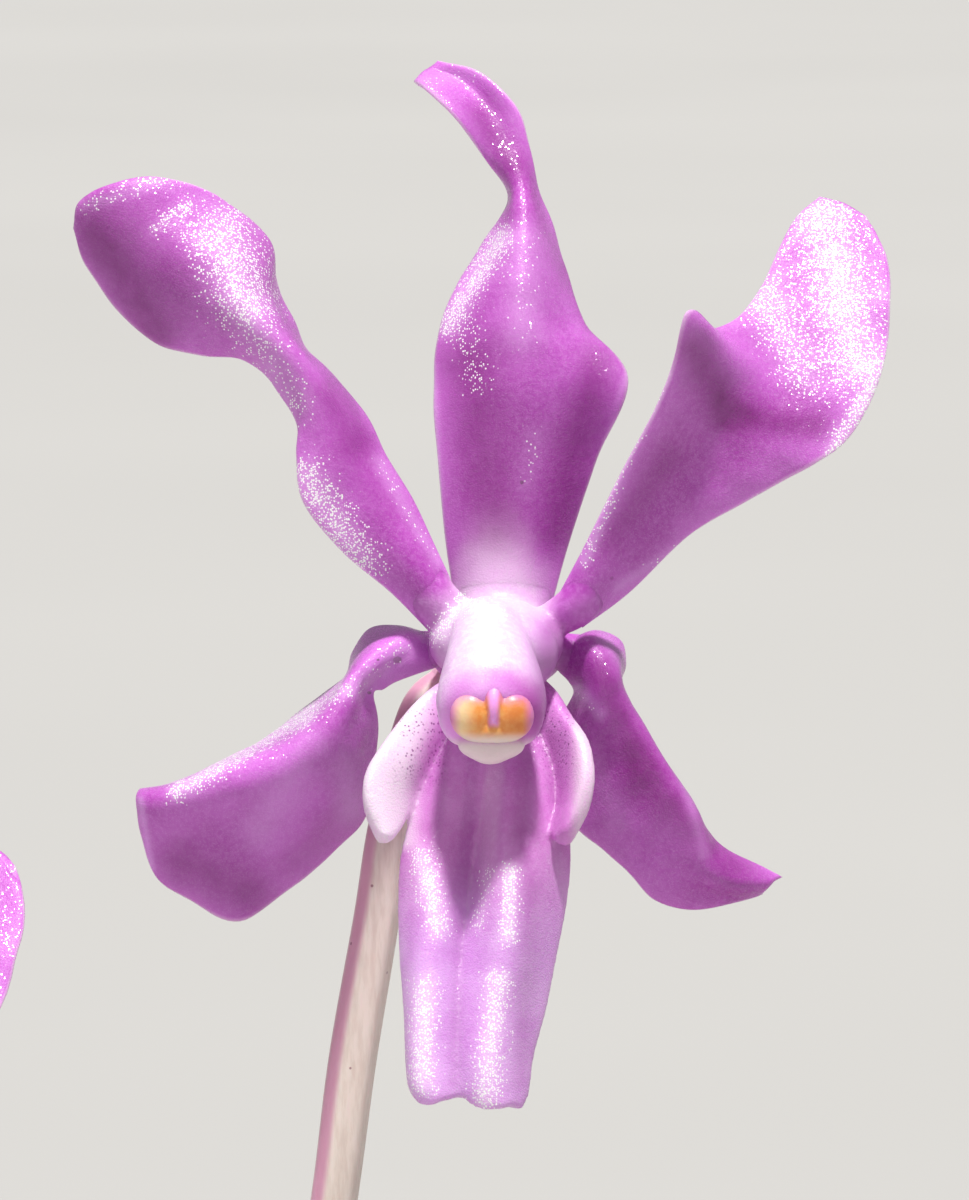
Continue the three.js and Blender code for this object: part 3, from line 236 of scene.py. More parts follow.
ROOTS = [
    [[-0.8, -4.3, 66, 1.7, 1.7], [-4.6, -9.6, 67, 1.7, 1.7], [-9, -14.6, 63, 1.7, 1.7],
     [-10.8, -16.6, 57, 1.6, 1.6], [-11, -17, 51, 1.3, 1.3]],
    [[0.8, 4.3, 67, 1.8, 1.8], [5, 10, 68.4, 1.8, 1.8], [9.4, 15.4, 64, 1.7, 1.7],
     [11, 17.4, 57.5, 1.6, 1.6], [11.2, 17.8, 51, 1.3, 1.3]],
    [[1.4, -4.1, 70, 1.8, 1.8], [7.4, -12, 72.6, 1.8, 1.8], [15, -23, 72, 1.8, 1.8],
     [21.4, -32.6, 69.6, 1.8, 1.8], [24.6, -37.6, 62, 1.8, 1.8], [24.4, -37.8, 50, 1.8, 1.8],
     [23.6, -36.4, 40, 1.7, 1.7], [23.4, -36, 35, 0.9, 0.9]],
    [[-1.4, 4.2, 72, 1.8, 1.8], [-9.6, 12, 75, 1.8, 1.8], [-20, 22.6, 73.6, 1.8, 1.8],
     [-27.6, 30.4, 69.4, 1.8, 1.8], [-31.4, 33, 61, 1.8, 1.8], [-31, 32.4, 48, 1.8, 1.8],
     [-29.6, 31.2, 36, 1.7, 1.7], [-29.2, 30.8, 30.6, 0.9, 0.9]],
    [[-1.6, -4.3, 72.3, 1.6, 1.6], [-3.8, -9.6, 76.2, 1.6, 1.6], [-10.4, -17, 78.2, 1.6, 1.6],
     [-20, -25.4, 78, 1.6, 1.6], [-29.6, -34.4, 71, 1.6, 1.6], [-33.6, -37.6, 60, 1.6, 1.6],
     [-33.4, -37.2, 52, 1.5, 1.5], [-33, -36.6, 48, 0.8, 0.8]],
]


# Curves and grids
RIPPLE_WAVES = 7
THINNEST = 0.02
CAP_RINGS = 6
POLE = 0.08


def spline_weights(count, ts):
    """How much each of the values counts in the smooth curve through them, at every t from 0 to 1."""
    weights = np.zeros((len(ts), count))
    last = count - 1
    for row, t in enumerate(ts):
        span = min(int(t * last), last - 1)
        f = t * last - span
        a = 0.5 * (-f + 2 * f**2 - f**3)
        b = 0.5 * (2 - 5 * f**2 + 3 * f**3)
        c = 0.5 * (f + 4 * f**2 - 3 * f**3)
        d = 0.5 * (-(f**2) + f**3)
        weights[row, span] += b
        weights[row, span + 1] += c
        if span > 0:
            weights[row, span - 1] += a
        else:
            weights[row, span] += 2 * a
            weights[row, span + 1] -= a
        if span + 2 <= last:
            weights[row, span + 2] += d
        else:
            weights[row, span + 1] += 2 * d
            weights[row, span] -= d
    return weights


def surface(curves, us, vs):
    curves = np.array(curves, float)
    lengthwise = spline_weights(curves.shape[1], us)
    across = spline_weights(curves.shape[0], vs)
    return np.einsum("ui,kix,vk->uvx", lengthwise, curves, across)


def unit(vectors):
    return vectors / np.maximum(np.linalg.norm(vectors, axis=-1, keepdims=True), 1e-9)


def smooth(value, low, high):
    t = np.clip((value - low) / (high - low), 0, 1)
    return t * t * (3 - 2 * t)


def ripple(points, scale, seed):
    """A gentle random height, about -1 to 1, that changes smoothly in space."""
    draw = np.random.default_rng(seed)
    total = np.zeros(points.shape[:-1])
    for _ in range(RIPPLE_WAVES):
        direction = unit(draw.normal(size=3)) * (0.6 + 0.9 * draw.random()) / scale
        total += np.sin(points @ direction * 2 * np.pi + draw.random() * 6.28)
    return total / 3.2


class Body:
    """Points, faces and the values painted on the points, gathered from several forms."""

    def __init__(self):
        self.points = []
        self.faces = []
        self.leaf = []

    def add(self, points, faces, leaf=None):
        start = len(self.points)
        points = np.asarray(points, float).reshape(-1, 3)
        self.points.extend(points.tolist())
        self.faces.extend([[start + n for n in face] for face in faces])
        values = np.zeros((len(points), 3)) if leaf is None else np.asarray(leaf, float).reshape(-1, 3)
        self.leaf.extend(values.tolist())
        return self


def length_steps(count):
    """Steps along a leaf, closer together at the tip so that it is round."""
    tip = 1 - 0.035 * np.cos(np.linspace(0.2, 1, 8) * np.pi / 2)
    return np.concatenate([np.linspace(0, 0.965, count), tip])


def width_steps(count):
    return 0.5 - 0.5 * np.cos(np.linspace(0, 1, count) * np.pi)


def around(count):
    """Angles of a full turn."""
    return np.linspace(0, 2 * np.pi, count, endpoint=False)


def level_ring(angle, wide, deep, z):
    """A ring of points at one height."""
    return np.stack([wide * np.cos(angle), deep * np.sin(angle), np.full(len(angle), z)], 1)


def normals_of(grid):
    return unit(np.cross(np.gradient(grid, axis=0), np.gradient(grid, axis=1)))


def add_sheet(body, grid, half, us, vs):
    """A closed leaf of varying thickness about a grid of points, with rounded margins."""
    rows, columns = grid.shape[:2]
    away = normals_of(grid) * half[..., None]
    marks = np.zeros((2, rows, columns, 3))
    marks[..., 0] = us[:, None]
    marks[..., 1] = 2 * vs - 1
    marks[0, ..., 2] = 1
    back = rows * columns
    faces = []
    for row in range(rows - 1):
        for column in range(columns - 1):
            a = row * columns + column
            faces.append([a, a + columns, a + columns + 1, a + 1])
            faces.append([back + a, back + a + 1, back + a + columns + 1, back + a + columns])
    edge = list(range(columns))
    edge += [row * columns + columns - 1 for row in range(1, rows - 1)]
    edge += [(rows - 1) * columns + column for column in reversed(range(columns))]
    edge += [row * columns for row in reversed(range(1, rows - 1))]
    for a, b in zip(edge, edge[1:] + edge[:1]):
        faces.append([a, b, back + b, back + a])
    return body.add(np.stack([grid + away, grid - away]), faces, marks)


def leaf_half(us, vs, middle, margin, tip=0.97):
    """Half thickness of a leaf: full in the middle, thin and round at the margins and at the tip."""
    w = np.abs(2 * vs - 1)
    across = margin + (middle - margin) * (1 - w**2.5)
    rim = np.sqrt(np.clip(1 - w**24, 0, 1))
    end = np.sqrt(np.clip(1 - np.clip((us - tip) / (1 - tip), 0, 1) ** 2, 0, 1))
    return np.maximum(np.outer(end, across * rim), THINNEST)


def add_rings(body, rings, marks=None):
    """A closed form from rings of points, with a fan of faces at each end."""
    count, sides = rings.shape[:2]
    faces = []
    for ring in range(count - 1):
        for side in range(sides):
            a = ring * sides + side
            b = ring * sides + (side + 1) % sides
            faces.append([a, b, b + sides, a + sides])
    first = count * sides
    top = first - sides
    for side in range(sides):
        after = (side + 1) % sides
        faces.append([after, side, first])
        faces.append([top + side, top + after, first + 1])

    def with_ends(values):
        return np.concatenate([values.reshape(-1, 3), [values[0].mean(0), values[-1].mean(0)]])

    return body.add(with_ends(rings), faces, None if marks is None else with_ends(marks))


def add_limb(body, stations, sides, steps, shape=None, ends=(0.0, 0.0)):
    """Rings along a curve of stations. shape(u, angle) widens or narrows them, and ends rounds them off."""
    us = np.linspace(0, 1, steps)
    samples = spline_weights(len(stations), us) @ np.array(stations, float)
    centres = samples[:, :3]
    halves = samples[:, 3:5]
    angle = around(sides)
    last = steps - 1
    across = np.array([1.0, 0, 0])
    frames = []
    for n in range(steps):
        along = unit(centres[min(n + 1, last)] - centres[max(n - 1, 0)])
        across = unit(across - along * (across @ along))
        frames.append((centres[n], along, across, np.cross(along, across), halves[n], us[n]))
    caps = np.linspace(1, 0.12, CAP_RINGS)[1:]
    reach = np.sqrt(1 - caps**2)
    plan = [(n, 0.0, 1.0) for n in range(steps)]
    if ends[0]:
        plan = [(0, -r * ends[0], cap) for r, cap in zip(reach[::-1], caps[::-1])] + plan
    if ends[1]:
        plan += [(last, r * ends[1], cap) for r, cap in zip(reach, caps)]
    rings = []
    marks = []
    for n, push, shrink in plan:
        centre, along, across, deep, half, u = frames[n]
        swell = np.ones(sides) if shape is None else shape(u, angle)
        ring = centre + along * push * half.mean()
        ring = ring + np.outer(half[0] * shrink * swell * np.cos(angle), across)
        ring = ring + np.outer(half[1] * shrink * swell * np.sin(angle), deep)
        rings.append(ring)
        marks.append(np.stack([np.full(sides, u), np.cos(angle), np.sin(angle)], 1))
    return add_rings(body, np.array(rings), np.array(marks))


def add_ball(body, centre, radii, steps=14):
    """An egg shape as rings from pole to pole."""
    polar = np.linspace(POLE, np.pi - POLE, steps)
    angle = around(2 * steps)
    x = np.outer(np.sin(polar), np.cos(angle)) * radii[0]
    y = np.outer(np.sin(polar), np.sin(angle)) * radii[1]
    z = np.outer(-np.cos(polar), np.ones_like(angle)) * radii[2]
    return add_rings(body, np.stack([x, y, z], -1) + np.array(centre))


# Blender objects
def new_mesh(name, points, faces):
    mesh = bpy.data.meshes.new(name)
    mesh.from_pydata(points, [], faces)
    mesh.update()
    return mesh


def new_object(name, data):
    thing = bpy.data.objects.new(name, data)
    bpy.context.scene.collection.objects.link(thing)
    return thing


def with_modifiers(thing):
    """A new mesh of an object with its modifiers applied."""
    graph = bpy.context.evaluated_depsgraph_get()
    return bpy.data.meshes.new_from_object(thing.evaluated_get(graph), preserve_all_data_layers=True,
                                           depsgraph=graph)


def points_of(mesh):
    points = np.empty(len(mesh.vertices) * 3, np.float32)
    mesh.vertices.foreach_get("co", points)
    return points.reshape(-1, 3)


def write_layer(mesh, name, values):
    """Values on the points of a mesh, for a material to read."""
    if name in mesh.attributes:
        mesh.attributes.remove(mesh.attributes[name])
    layer = mesh.attributes.new(name, "FLOAT_VECTOR", "POINT")
    layer.data.foreach_set("vector", np.asarray(values, np.float32).ravel())


def blended(body, voxel, rounds):
    """One skin over the forms of a body, with soft fillets where they meet."""
    mesh = new_mesh("blend", body.points, body.faces)
    thing = new_object("blend", mesh)
    remesh = thing.modifiers.new("skin", "REMESH")
    remesh.mode = "VOXEL"
    remesh.voxel_size = voxel
    soften = thing.modifiers.new("soften", "SMOOTH")
    soften.factor = 0.5
    soften.iterations = rounds
    done = with_modifiers(thing)
    skin = Body().add(points_of(done), [list(face.vertices) for face in done.polygons])
    bpy.data.objects.remove(thing)
    bpy.data.meshes.remove(mesh)
    bpy.data.meshes.remove(done)
    return skin


def pose(at=(0, 0, 0), turn=(0, 0, 0), size=1.0):
    """Rotation and place of a bloom, as the part has it: turned about y, then x, then z."""
    x, y, z = (math.radians(a) for a in turn)
    turned = Matrix.Rotation(z, 3, "Z") @ Matrix.Rotation(x, 3, "X") @ Matrix.Rotation(y, 3, "Y")
    return np.array(turned) * size, np.array(at, float)


HERE = pose()


def stroke_values(points, strokes):
    """How much painted shade, painted light and painted glints the skin gets at each point."""
    flat = points[:, [0, 2]]
    values = np.zeros((len(points), 3))
    for start, end, width, amounts in strokes:
        along = np.array(end, float) - start
        t = np.clip((flat - start) @ along / (along @ along), 0, 1)[:, None]
        away = np.linalg.norm(flat - start - t * along, axis=1) / width
        values += np.exp(-(away**2))[:, None] * amounts
    return np.clip(values, 0, 1)


def add_piece(name, body, skin, place=HERE, strokes=(), stands_for=None):
    """A finished piece of the plant, with the values that its material reads. skin is material and slot; the
    slot is not used.
    """
    rotation, at = place
    material, slot = skin
    if stands_for is None:
        stands_for = [name]
    local = np.array(body.points)
    mesh = new_mesh(name, ((local @ rotation.T + at) * MM).tolist(), body.faces)
    write_layer(mesh, "place", local)
    write_layer(mesh, "leaf", body.leaf)
    # painted shade, painted light and painted glints, for the material to read
    write_layer(mesh, "painted_shading", stroke_values(local, strokes))
    mesh.polygons.foreach_set("use_smooth", [True] * len(mesh.polygons))
    mesh.materials.append(material)
    piece = new_object(name, mesh)
    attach(piece, "root")
    if stands_for:
        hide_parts(*stands_for)
    return piece


# Materials. A colour is written as on screen, 0 to 255.
DEEP_PURPLE = (174, 62, 174)
LIGHT_PURPLE = (204, 104, 208)
GLINT_CELLS = 12.0
SKIN_GRAIN = 13.0


def rgb(red, green, blue):
    """A colour in the values that shaders use."""
    shares = [level / 255 for level in (red, green, blue)]
    return (*(s / 12.92 if s <= 10 / 255 else ((s + 0.055) / 1.055) ** 2.4 for s in shares), 1.0)


class Value:
    """A number that a material works out at each point of the skin."""

    def __init__(self, paint, socket):
        self.paint = paint
        self.socket = socket

    def __add__(self, other):
        return self.paint.math("ADD", self, other)

    def __sub__(self, other):
        return self.paint.math("SUBTRACT", self, other)

    def __mul__(self, other):
        return self.paint.math("MULTIPLY", self, other)

    def __abs__(self):
        return self.paint.math("ABSOLUTE", self)

    def step(self, low, high, to_low=0.0, to_high=1.0):
        """Goes softly from to_low to to_high while this value goes from low to high."""
        inputs = {"Value": self, "From Min": low, "From Max": high, "To Min": to_low, "To Max": to_high}
        node = self.paint.node("MapRange", inputs, interpolation_type="SMOOTHSTEP")
        return Value(self.paint, node.outputs[0])


class Paint:
    """A procedural material that is built up in small steps. Its tone is the colour so far."""

    def __init__(self, name, gloss, flesh=None, coat=None):
        """flesh: weight, colours and depth of the light below the skin. coat: weight, roughness and index."""
        self.material = bpy.data.materials.new(name)
        self.material.use_nodes = True
        self.tree = self.material.node_tree
        self.shader = self.tree.nodes["Principled BSDF"]
        self.place = self.attribute("place")
        self.leaf = self.attribute("leaf")
        self.tone = None
        self.out("Specular IOR Level", gloss)
        if flesh is not None:
            self.out("Subsurface Weight", flesh[0])
            self.out("Subsurface Radius", flesh[1])
            self.out("Subsurface Scale", flesh[2] * MM)
        if coat is not None:
            for socket, value in zip(("Coat Weight", "Coat Roughness", "Coat IOR"), coat):
                self.out(socket, value)

    def join(self, value, socket):
        if isinstance(value, Value):
            value = value.socket
        if isinstance(value, bpy.types.NodeSocket):
            self.tree.links.new(value, socket)
        else:
            socket.default_value = rgb(*value) if socket.type == "RGBA" else value

    def out(self, socket, value):
        self.join(value, self.shader.inputs[socket])

    def node(self, kind, inputs, **settings):
        node = self.tree.nodes.new("ShaderNode" + kind)
        for key, value in settings.items():
            setattr(node, key, value)
        for key, value in inputs.items():
            self.join(value, node.inputs[key])
        return node

    def attribute(self, name):
        return self.node("Attribute", {}, attribute_name=name).outputs["Vector"]

    def split(self, vector):
        return [Value(self, socket) for socket in self.node("SeparateXYZ", {0: vector}).outputs]

    def math(self, operation, *values, clamp=False):
        node = self.node("Math", dict(enumerate(values)), operation=operation, use_clamp=clamp)
        return Value(self, node.outputs[0])

    def vector(self, operation, *values):
        return self.node("VectorMath", dict(enumerate(values)), operation=operation).outputs["Vector"]

    def stretch(self, factors):
        """The place on the skin, stretched, for a pattern that runs one way."""
        return self.vector("MULTIPLY", self.place, factors)

    def length(self, a, b):
        return self.math("SQRT", a * a + b * b)

    def noise(self, scale, detail=3.0, roughness=0.5, distortion=0.0, at=None):
        inputs = {"Vector": self.place if at is None else at, "Scale": scale, "Detail": detail,
                  "Roughness": roughness, "Distortion": distortion}
        return Value(self, self.node("TexNoise", inputs).outputs[0])

    def voronoi(self, scale, at=None):
        return self.node("TexVoronoi", {"Vector": self.place if at is None else at, "Scale": scale}).outputs

    def cells(self, scale, at=None):
        """Distance from the middle of the nearest cell."""
        return Value(self, self.voronoi(scale, at)["Distance"])

    def facets(self, scale, tilt):
        """A normal that leans another way in each tiny cell, so that lit skin glitters."""
        lean = self.vector("SUBTRACT", self.voronoi(scale)["Color"], (0.5, 0.5, 0.5))
        lean = self.node("VectorMath", {0: lean, "Scale": tilt}, operation="SCALE").outputs["Vector"]
        normal = self.node("NewGeometry", {}).outputs["Normal"]
        return self.vector("NORMALIZE", self.vector("ADD", normal, lean))

    def mix(self, share, first, second):
        return self.node("Mix", {0: share, 6: first, 7: second}, data_type="RGBA").outputs[2]

    def over(self, share, colour):
        """Lays a colour over the tone."""
        self.tone = self.mix(share, self.tone, colour)

    def finished(self, roughness, relief=None, facets=None):
        """The material. relief: height, depth and strength of its bumps. facets: their scale and tilt."""
        self.out("Base Color", self.tone)
        self.out("Roughness", roughness)
        if relief is not None:
            inputs = {"Height": relief[0], "Distance": relief[1] * MM, "Strength": relief[2]}
            self.out("Normal", self.node("Bump", inputs).outputs[0])
        if facets is not None:
            self.out("Coat Normal", self.facets(*facets))
        return self.material


def heart_distance(paint):
    """Distance in millimetres from the middle of a bloom, seen from the front, a little uneven."""
    x, _, z = paint.split(paint.stretch((1.6, 1.0, 0.76)))
    return paint.length(x, z) + (paint.noise(0.9, 2.0) - 0.5) * 1.1


def fade(paint):
    """The tone fades to the pale flesh in the middle of the bloom."""
    paint.over(heart_distance(paint).step(4.5, 2.2), (236, 200, 236))


def lay_strokes(paint, pale):
    """Deepens the tone as painted shade (partly the skin's own deeper tone), lightens it as painted light and
    lays tiny white dots of painted glints on it, where the strokes lie.
    """
    deep, painted_light, painted_glints = paint.split(paint.attribute("painted_shading"))
    rough = (paint.noise(1.6, 3.0, 0.6) - 0.5) * 0.5
    deep = paint.math("MULTIPLY", deep, rough + 0.8, clamp=True)
    painted_light = paint.math("MULTIPLY", painted_light, rough + 0.6, clamp=True)
    # painted shade: deeper purple where the deep strokes lie
    paint.over(deep, (134, 32, 128))
    # painted light: the pale colour where the light strokes lie, partly the skin's own paler tone
    paint.over(painted_light, pale)
    painted_glints = painted_glints + rough * painted_glints
    # painted sheen where painted light and painted glints overlap
    glare = paint.math("MULTIPLY", painted_light * painted_glints, 0.4, clamp=True)
    paint.over(glare, (250, 228, 252))
    # painted glints: tiny white dots in random cells
    chance = paint.split(paint.voronoi(GLINT_CELLS)["Color"])[0]
    shown = (painted_glints * 0.9 - chance).step(0.0, 0.06)
    paint.over(shown * paint.cells(GLINT_CELLS).step(0.56, 0.38), (255, 250, 255))


def vein_lines(paint, w, count, spread):
    """Thin lines that run along a leaf and drift a little."""
    drift = (paint.noise(0.35, 2.0) - 0.5) * spread
    wave = paint.math("SINE", (w + drift) * (math.pi * count / 2))
    return abs(wave).step(0.42, 0.0)


def tepal_paint():
    paint = Paint("tepal_skin", 0.3, flesh=(0.35, (1.0, 0.4, 0.95), 0.7), coat=(0.7, 0.15, 1.5))
    _, w, _ = paint.split(paint.leaf)
    edge = abs(w)
    cloud = paint.noise(0.22, 3.0, 0.55)
    fine = paint.noise(5.0, 3.0, 0.6)
    grain = paint.cells(SKIN_GRAIN)
    veins = vein_lines(paint, w, 9, 0.35)
    paint.tone = paint.mix(cloud.step(0.3, 0.72), DEEP_PURPLE, LIGHT_PURPLE)
    paint.over(edge.step(0.45, 1.0, 0.0, 0.45), (214, 128, 220))
    paint.over(fine.step(0.35, 0.75, 0.0, 0.22), (226, 152, 232))
    paint.over(veins * 0.05, (224, 140, 226))
    paint.over(grain.step(0.1, 0.5, 0.14, 0.0), (244, 200, 248))
    # painted light: a thin pale rim on the margin, partly its own paler colour and partly light glowing
    # through the thin edge
    paint.over(edge.step(0.95, 1.0, 0.0, 0.75), (232, 188, 232))
    near = heart_distance(paint).step(9.0, 5.0)
    paint.over(paint.cells(0.55).step(0.055, 0.035) * near, (96, 12, 84))
    x, _, z = paint.split(paint.stretch((1.0, 0.0, SPECK_FLATNESS)))
    for (at_x, at_z), size in SPECKS:
        away = paint.length(x - at_x, z - SPECK_FLATNESS * at_z)
        paint.over(away.step(1.2 * size, 0.8 * size), (84, 8, 60))
    fade(paint)
    # painted shade, painted light in pale lilac and painted glints where the strokes lie
    lay_strokes(paint, (231, 174, 239))
    relief = veins * -0.15 + grain * -0.5
    return paint.finished(fine.step(0.3, 0.8, 0.42, 0.56), relief=(relief, 0.035, 0.6), facets=(18.0, 0.5))


def lip_paint():
    paint = Paint("lip_skin", 0.45, flesh=(0.4, (1.0, 0.5, 0.95), 0.8), coat=(0.3, 0.22, 1.45))
    x, _, z = paint.split(paint.place)
    cloud = paint.noise(0.5, 3.0, 0.55).step(0.3, 0.7)
    fine = paint.noise(5.0, 3.0, 0.6)
    low = paint.mix(cloud, (214, 150, 224), (226, 174, 236))
    high = paint.mix(cloud, (208, 122, 204), (220, 144, 218))
    # darker towards the throat: partly the lip's own deeper colour, partly painted shade
    paint.tone = paint.mix(z.step(-12.5, -7.5), low, high)
    # rays and a pale stripe down the middle of the blade
    middle = x + z.step(-2.3, -18.0, 0.1, 1.35)
    rays = paint.math("SINE", middle * 5.2).step(-0.4, 1.0, 0.0, 0.16)
    paint.over(rays * z.step(-12.0, -7.0), (140, 52, 146))
    paint.over(abs(middle).step(0.55, 0.15) * z.step(-10.2, -7.5, 0.0, 0.5), (220, 172, 216))
    # pale side lobes with dots on their inner faces
    above = z.step(-8.6, -7.9)
    inward = x + z.step(-2.5, -5.5, 0.0, 0.7)
    paint.over(inward.step(-2.1, -3.3) * above, (242, 220, 240))
    paint.over(x.step(2.6, 3.2) * above, (232, 200, 228))
    left = x.step(-4.6, -3.7) * x.step(-1.9, -2.4)
    right = x.step(1.5, 1.9) * x.step(3.1, 2.7)
    zone = z.step(-6.4, -4.6) * z.step(-2.4, -3.1) * (left + right)
    zone = zone * paint.noise(1.5, 2.0).step(0.36, 0.56, 0.2, 0.85)
    paint.over(paint.cells(6.4).step(0.38, 0.2) * zone, (132, 52, 130))
    paint.over(fine.step(0.4, 0.8, 0.0, 0.2), (240, 206, 246))
    # painted shade, painted light and painted glints where the strokes lie
    lay_strokes(paint, (246, 212, 250))
    relief = paint.cells(SKIN_GRAIN) * -1.0
    return paint.finished(fine.step(0.3, 0.8, 0.34, 0.48), relief=(relief, 0.03, 0.5), facets=(17.0, 0.65))


def column_paint():
    paint = Paint("column_skin", 0.35, flesh=(0.5, (1.0, 0.7, 0.95), 1.2), coat=(0.14, 0.3, 1.45))
    x, y, z = paint.split(paint.place)
    fine = paint.noise(4.0, 3.0, 0.6)
    cloud = paint.noise(0.22, 3.0, 0.55)
    # feet of the floral leaves
    paint.tone = paint.mix(cloud.step(0.3, 0.72), DEEP_PURPLE, LIGHT_PURPLE)
    fade(paint)
    paint.over(fine.step(0.35, 0.75, 0.0, 0.3), (226, 152, 232))
    # white body, painted darker pink towards its right side as shade, over the body's own pinker flank
    flesh = paint.mix(fine.step(0.35, 0.75), (230, 194, 234), (240, 216, 242))
    flesh = paint.mix(x.step(0.5, 2.0), flesh, (208, 146, 212))
    paint.over(y.step(1.2, -0.6) * z.step(2.2, 1.4), flesh)
    # pink blush round the anther cap, painted deeper on its right side as shade, and the cream edge below it
    ring = paint.length(x + 0.35, z + 3.1)
    blush_and_shade = paint.mix(x.step(-0.2, 1.5), (232, 146, 234), (196, 82, 190))
    paint.over(y.step(-3.4, -4.8) * ring.step(2.6, 1.6) * 0.92, blush_and_shade)
    paint.over(z.step(-3.7, -4.2) * y.step(-3.6, -4.4), (240, 216, 220))
    # painted shade, painted light and painted glints where the strokes lie
    lay_strokes(paint, (250, 232, 252))
    relief = paint.cells(10.0) * -1.0
    return paint.finished(fine.step(0.3, 0.8, 0.38, 0.5), relief=(relief, 0.025, 0.5), facets=(17.0, 0.65))


def anther_paint():
    paint = Paint("anther_skin", 0.4, flesh=(0.45, (1.0, 0.5, 0.3), 0.7), coat=(0.15, 0.3, 1.5))
    x, _, z = paint.split(paint.place)
    fine = paint.noise(3.0, 3.0, 0.6)
    paint.tone = paint.mix(fine.step(0.3, 0.7), (236, 150, 72), (244, 176, 100))
    # painted shade: deeper orange on the right of the cap. Painted highlight: cream on its left.
    paint.over(x.step(-0.2, 0.7, 0.0, 0.5), (206, 112, 58))
    paint.over(x.step(-0.8, -1.6, 0.0, 0.85), (250, 222, 176))
    paint.over(z.step(-3.5, -3.95), (244, 218, 208))
    paint.over((z + (fine - 0.5) * 0.5).step(-2.7, -1.9), (228, 120, 190))
    paint.over(abs(x + 0.33).step(1.15, 1.7), (222, 124, 196))
    paint.over(abs(x + 0.26).step(0.3, 0.1) * z.step(-3.5, -3.2), (236, 158, 226))
    return paint.finished(fine.step(0.3, 0.8, 0.36, 0.5), relief=(paint.noise(8.0, 3.0), 0.03, 0.4))


def pedicel_paint():
    paint = Paint("pedicel_skin", 0.4, flesh=(0.4, (1.0, 0.7, 0.7), 0.9))
    _, c, s = paint.split(paint.leaf)
    fine = paint.noise(1.6, 3.0, 0.6, at=paint.stretch((3.0, 3.0, 0.5)))
    paint.tone = paint.mix(fine.step(0.3, 0.7), (222, 206, 196), (236, 224, 214))
    lean = c * 0.94 + s * 0.35
    paint.over(lean.step(-0.8, -1.0, 0.0, 0.7) + fine.step(0.5, 0.8, 0.0, 0.1), (214, 130, 178))
    paint.over(paint.cells(0.9).step(0.07, 0.04, 0.0, 0.7), (130, 60, 90))
    return paint.finished(fine.step(0.3, 0.8, 0.38, 0.52), relief=(fine, 0.04, 0.5))


def leaf_paint():
    paint = Paint("leaf_skin", 0.5, flesh=(0.12, (0.6, 1.0, 0.3), 0.8), coat=(0.12, 0.3, 1.5))
    u, w, under = paint.split(paint.leaf)
    edge = abs(w)
    fine = paint.noise(1.4, 4.0, 0.6)
    veins = vein_lines(paint, w, 19, 0.06)
    paint.tone = paint.mix(paint.noise(0.06, 4.0, 0.6).step(0.3, 0.7), (58, 88, 34), (84, 118, 48))
    for share in (veins * 0.35, edge.step(0.10, 0.0, 0.0, 0.35), edge.step(0.9, 1.0, 0.0, 0.5), under * 0.4,
                  fine.step(0.4, 0.8, 0.0, 0.25)):
        paint.over(share, (138, 160, 84))
    paint.over(u.step(0.9, 1.0, 0.0, 0.55), (140, 116, 60))
    paint.over(paint.cells(0.3).step(0.12, 0.06, 0.0, 0.4), (110, 84, 46))
    relief = veins * 0.6 + fine * 0.5
    return paint.finished(fine.step(0.3, 0.8, 0.32, 0.48), relief=(relief, 0.12, 0.5))


def stem_paint():
    paint = Paint("stem_skin", 0.4, flesh=(0.08, (0.6, 1.0, 0.3), 0.8))
    _, _, z = paint.split(paint.place)
    fibre = paint.noise(1.5, 4.0, 0.65, at=paint.stretch((2.6, 2.6, 0.12)))
    cloud = paint.noise(0.14, 3.0, 0.6)
    paint.tone = paint.mix(cloud.step(0.3, 0.7), (98, 122, 58), (136, 152, 84))
    dry = z.step(72.0, 60.0) + (cloud - 0.5)
    paint.over(dry.step(0.3, 0.8), (150, 126, 92))
    paint.over(fibre.step(0.4, 0.7, 0.0, 0.5), (96, 74, 48))
    paint.over(paint.cells(1.1).step(0.2, 0.1, 0.0, 0.5), (104, 56, 70))
    return paint.finished(fibre.step(0.3, 0.7, 0.45, 0.75), relief=(fibre, 0.25, 0.6))


def stalk_paint():
    paint = Paint("stalk_skin", 0.45, flesh=(0.12, (0.8, 1.0, 0.4), 0.8))
    _, _, z = paint.split(paint.place)
    cloud = paint.noise(0.5, 4.0, 0.6, at=paint.stretch((1.0, 1.0, 0.3)))
    fine = paint.noise(3.0, 3.0, 0.6)
    paint.tone = paint.mix(cloud.step(0.3, 0.7), (112, 134, 70), (146, 160, 92))
    paint.over(z.step(100.0, 142.0, 0.0, 0.75), (150, 104, 112))
    paint.over(paint.cells(1.6).step(0.22, 0.12, 0.0, 0.6), (110, 48, 82))
    return paint.finished(fine.step(0.3, 0.8, 0.4, 0.56), relief=(fine, 0.08, 0.5))


def bud_paint():
    paint = Paint("bud_skin", 0.45, flesh=(0.3, (1.0, 0.5, 0.7), 0.8))
    u, _, _ = paint.split(paint.leaf)
    fine = paint.noise(2.0, 3.0, 0.6)
    paint.tone = paint.mix(fine.step(0.3, 0.7), (158, 86, 146), (186, 120, 172))
    paint.over(u.step(0.45, 0.15), (150, 148, 100))
    paint.over(u.step(0.75, 1.0, 0.0, 0.5), (160, 168, 110))
    return paint.finished(fine.step(0.3, 0.8, 0.38, 0.52), relief=(fine, 0.06, 0.5))


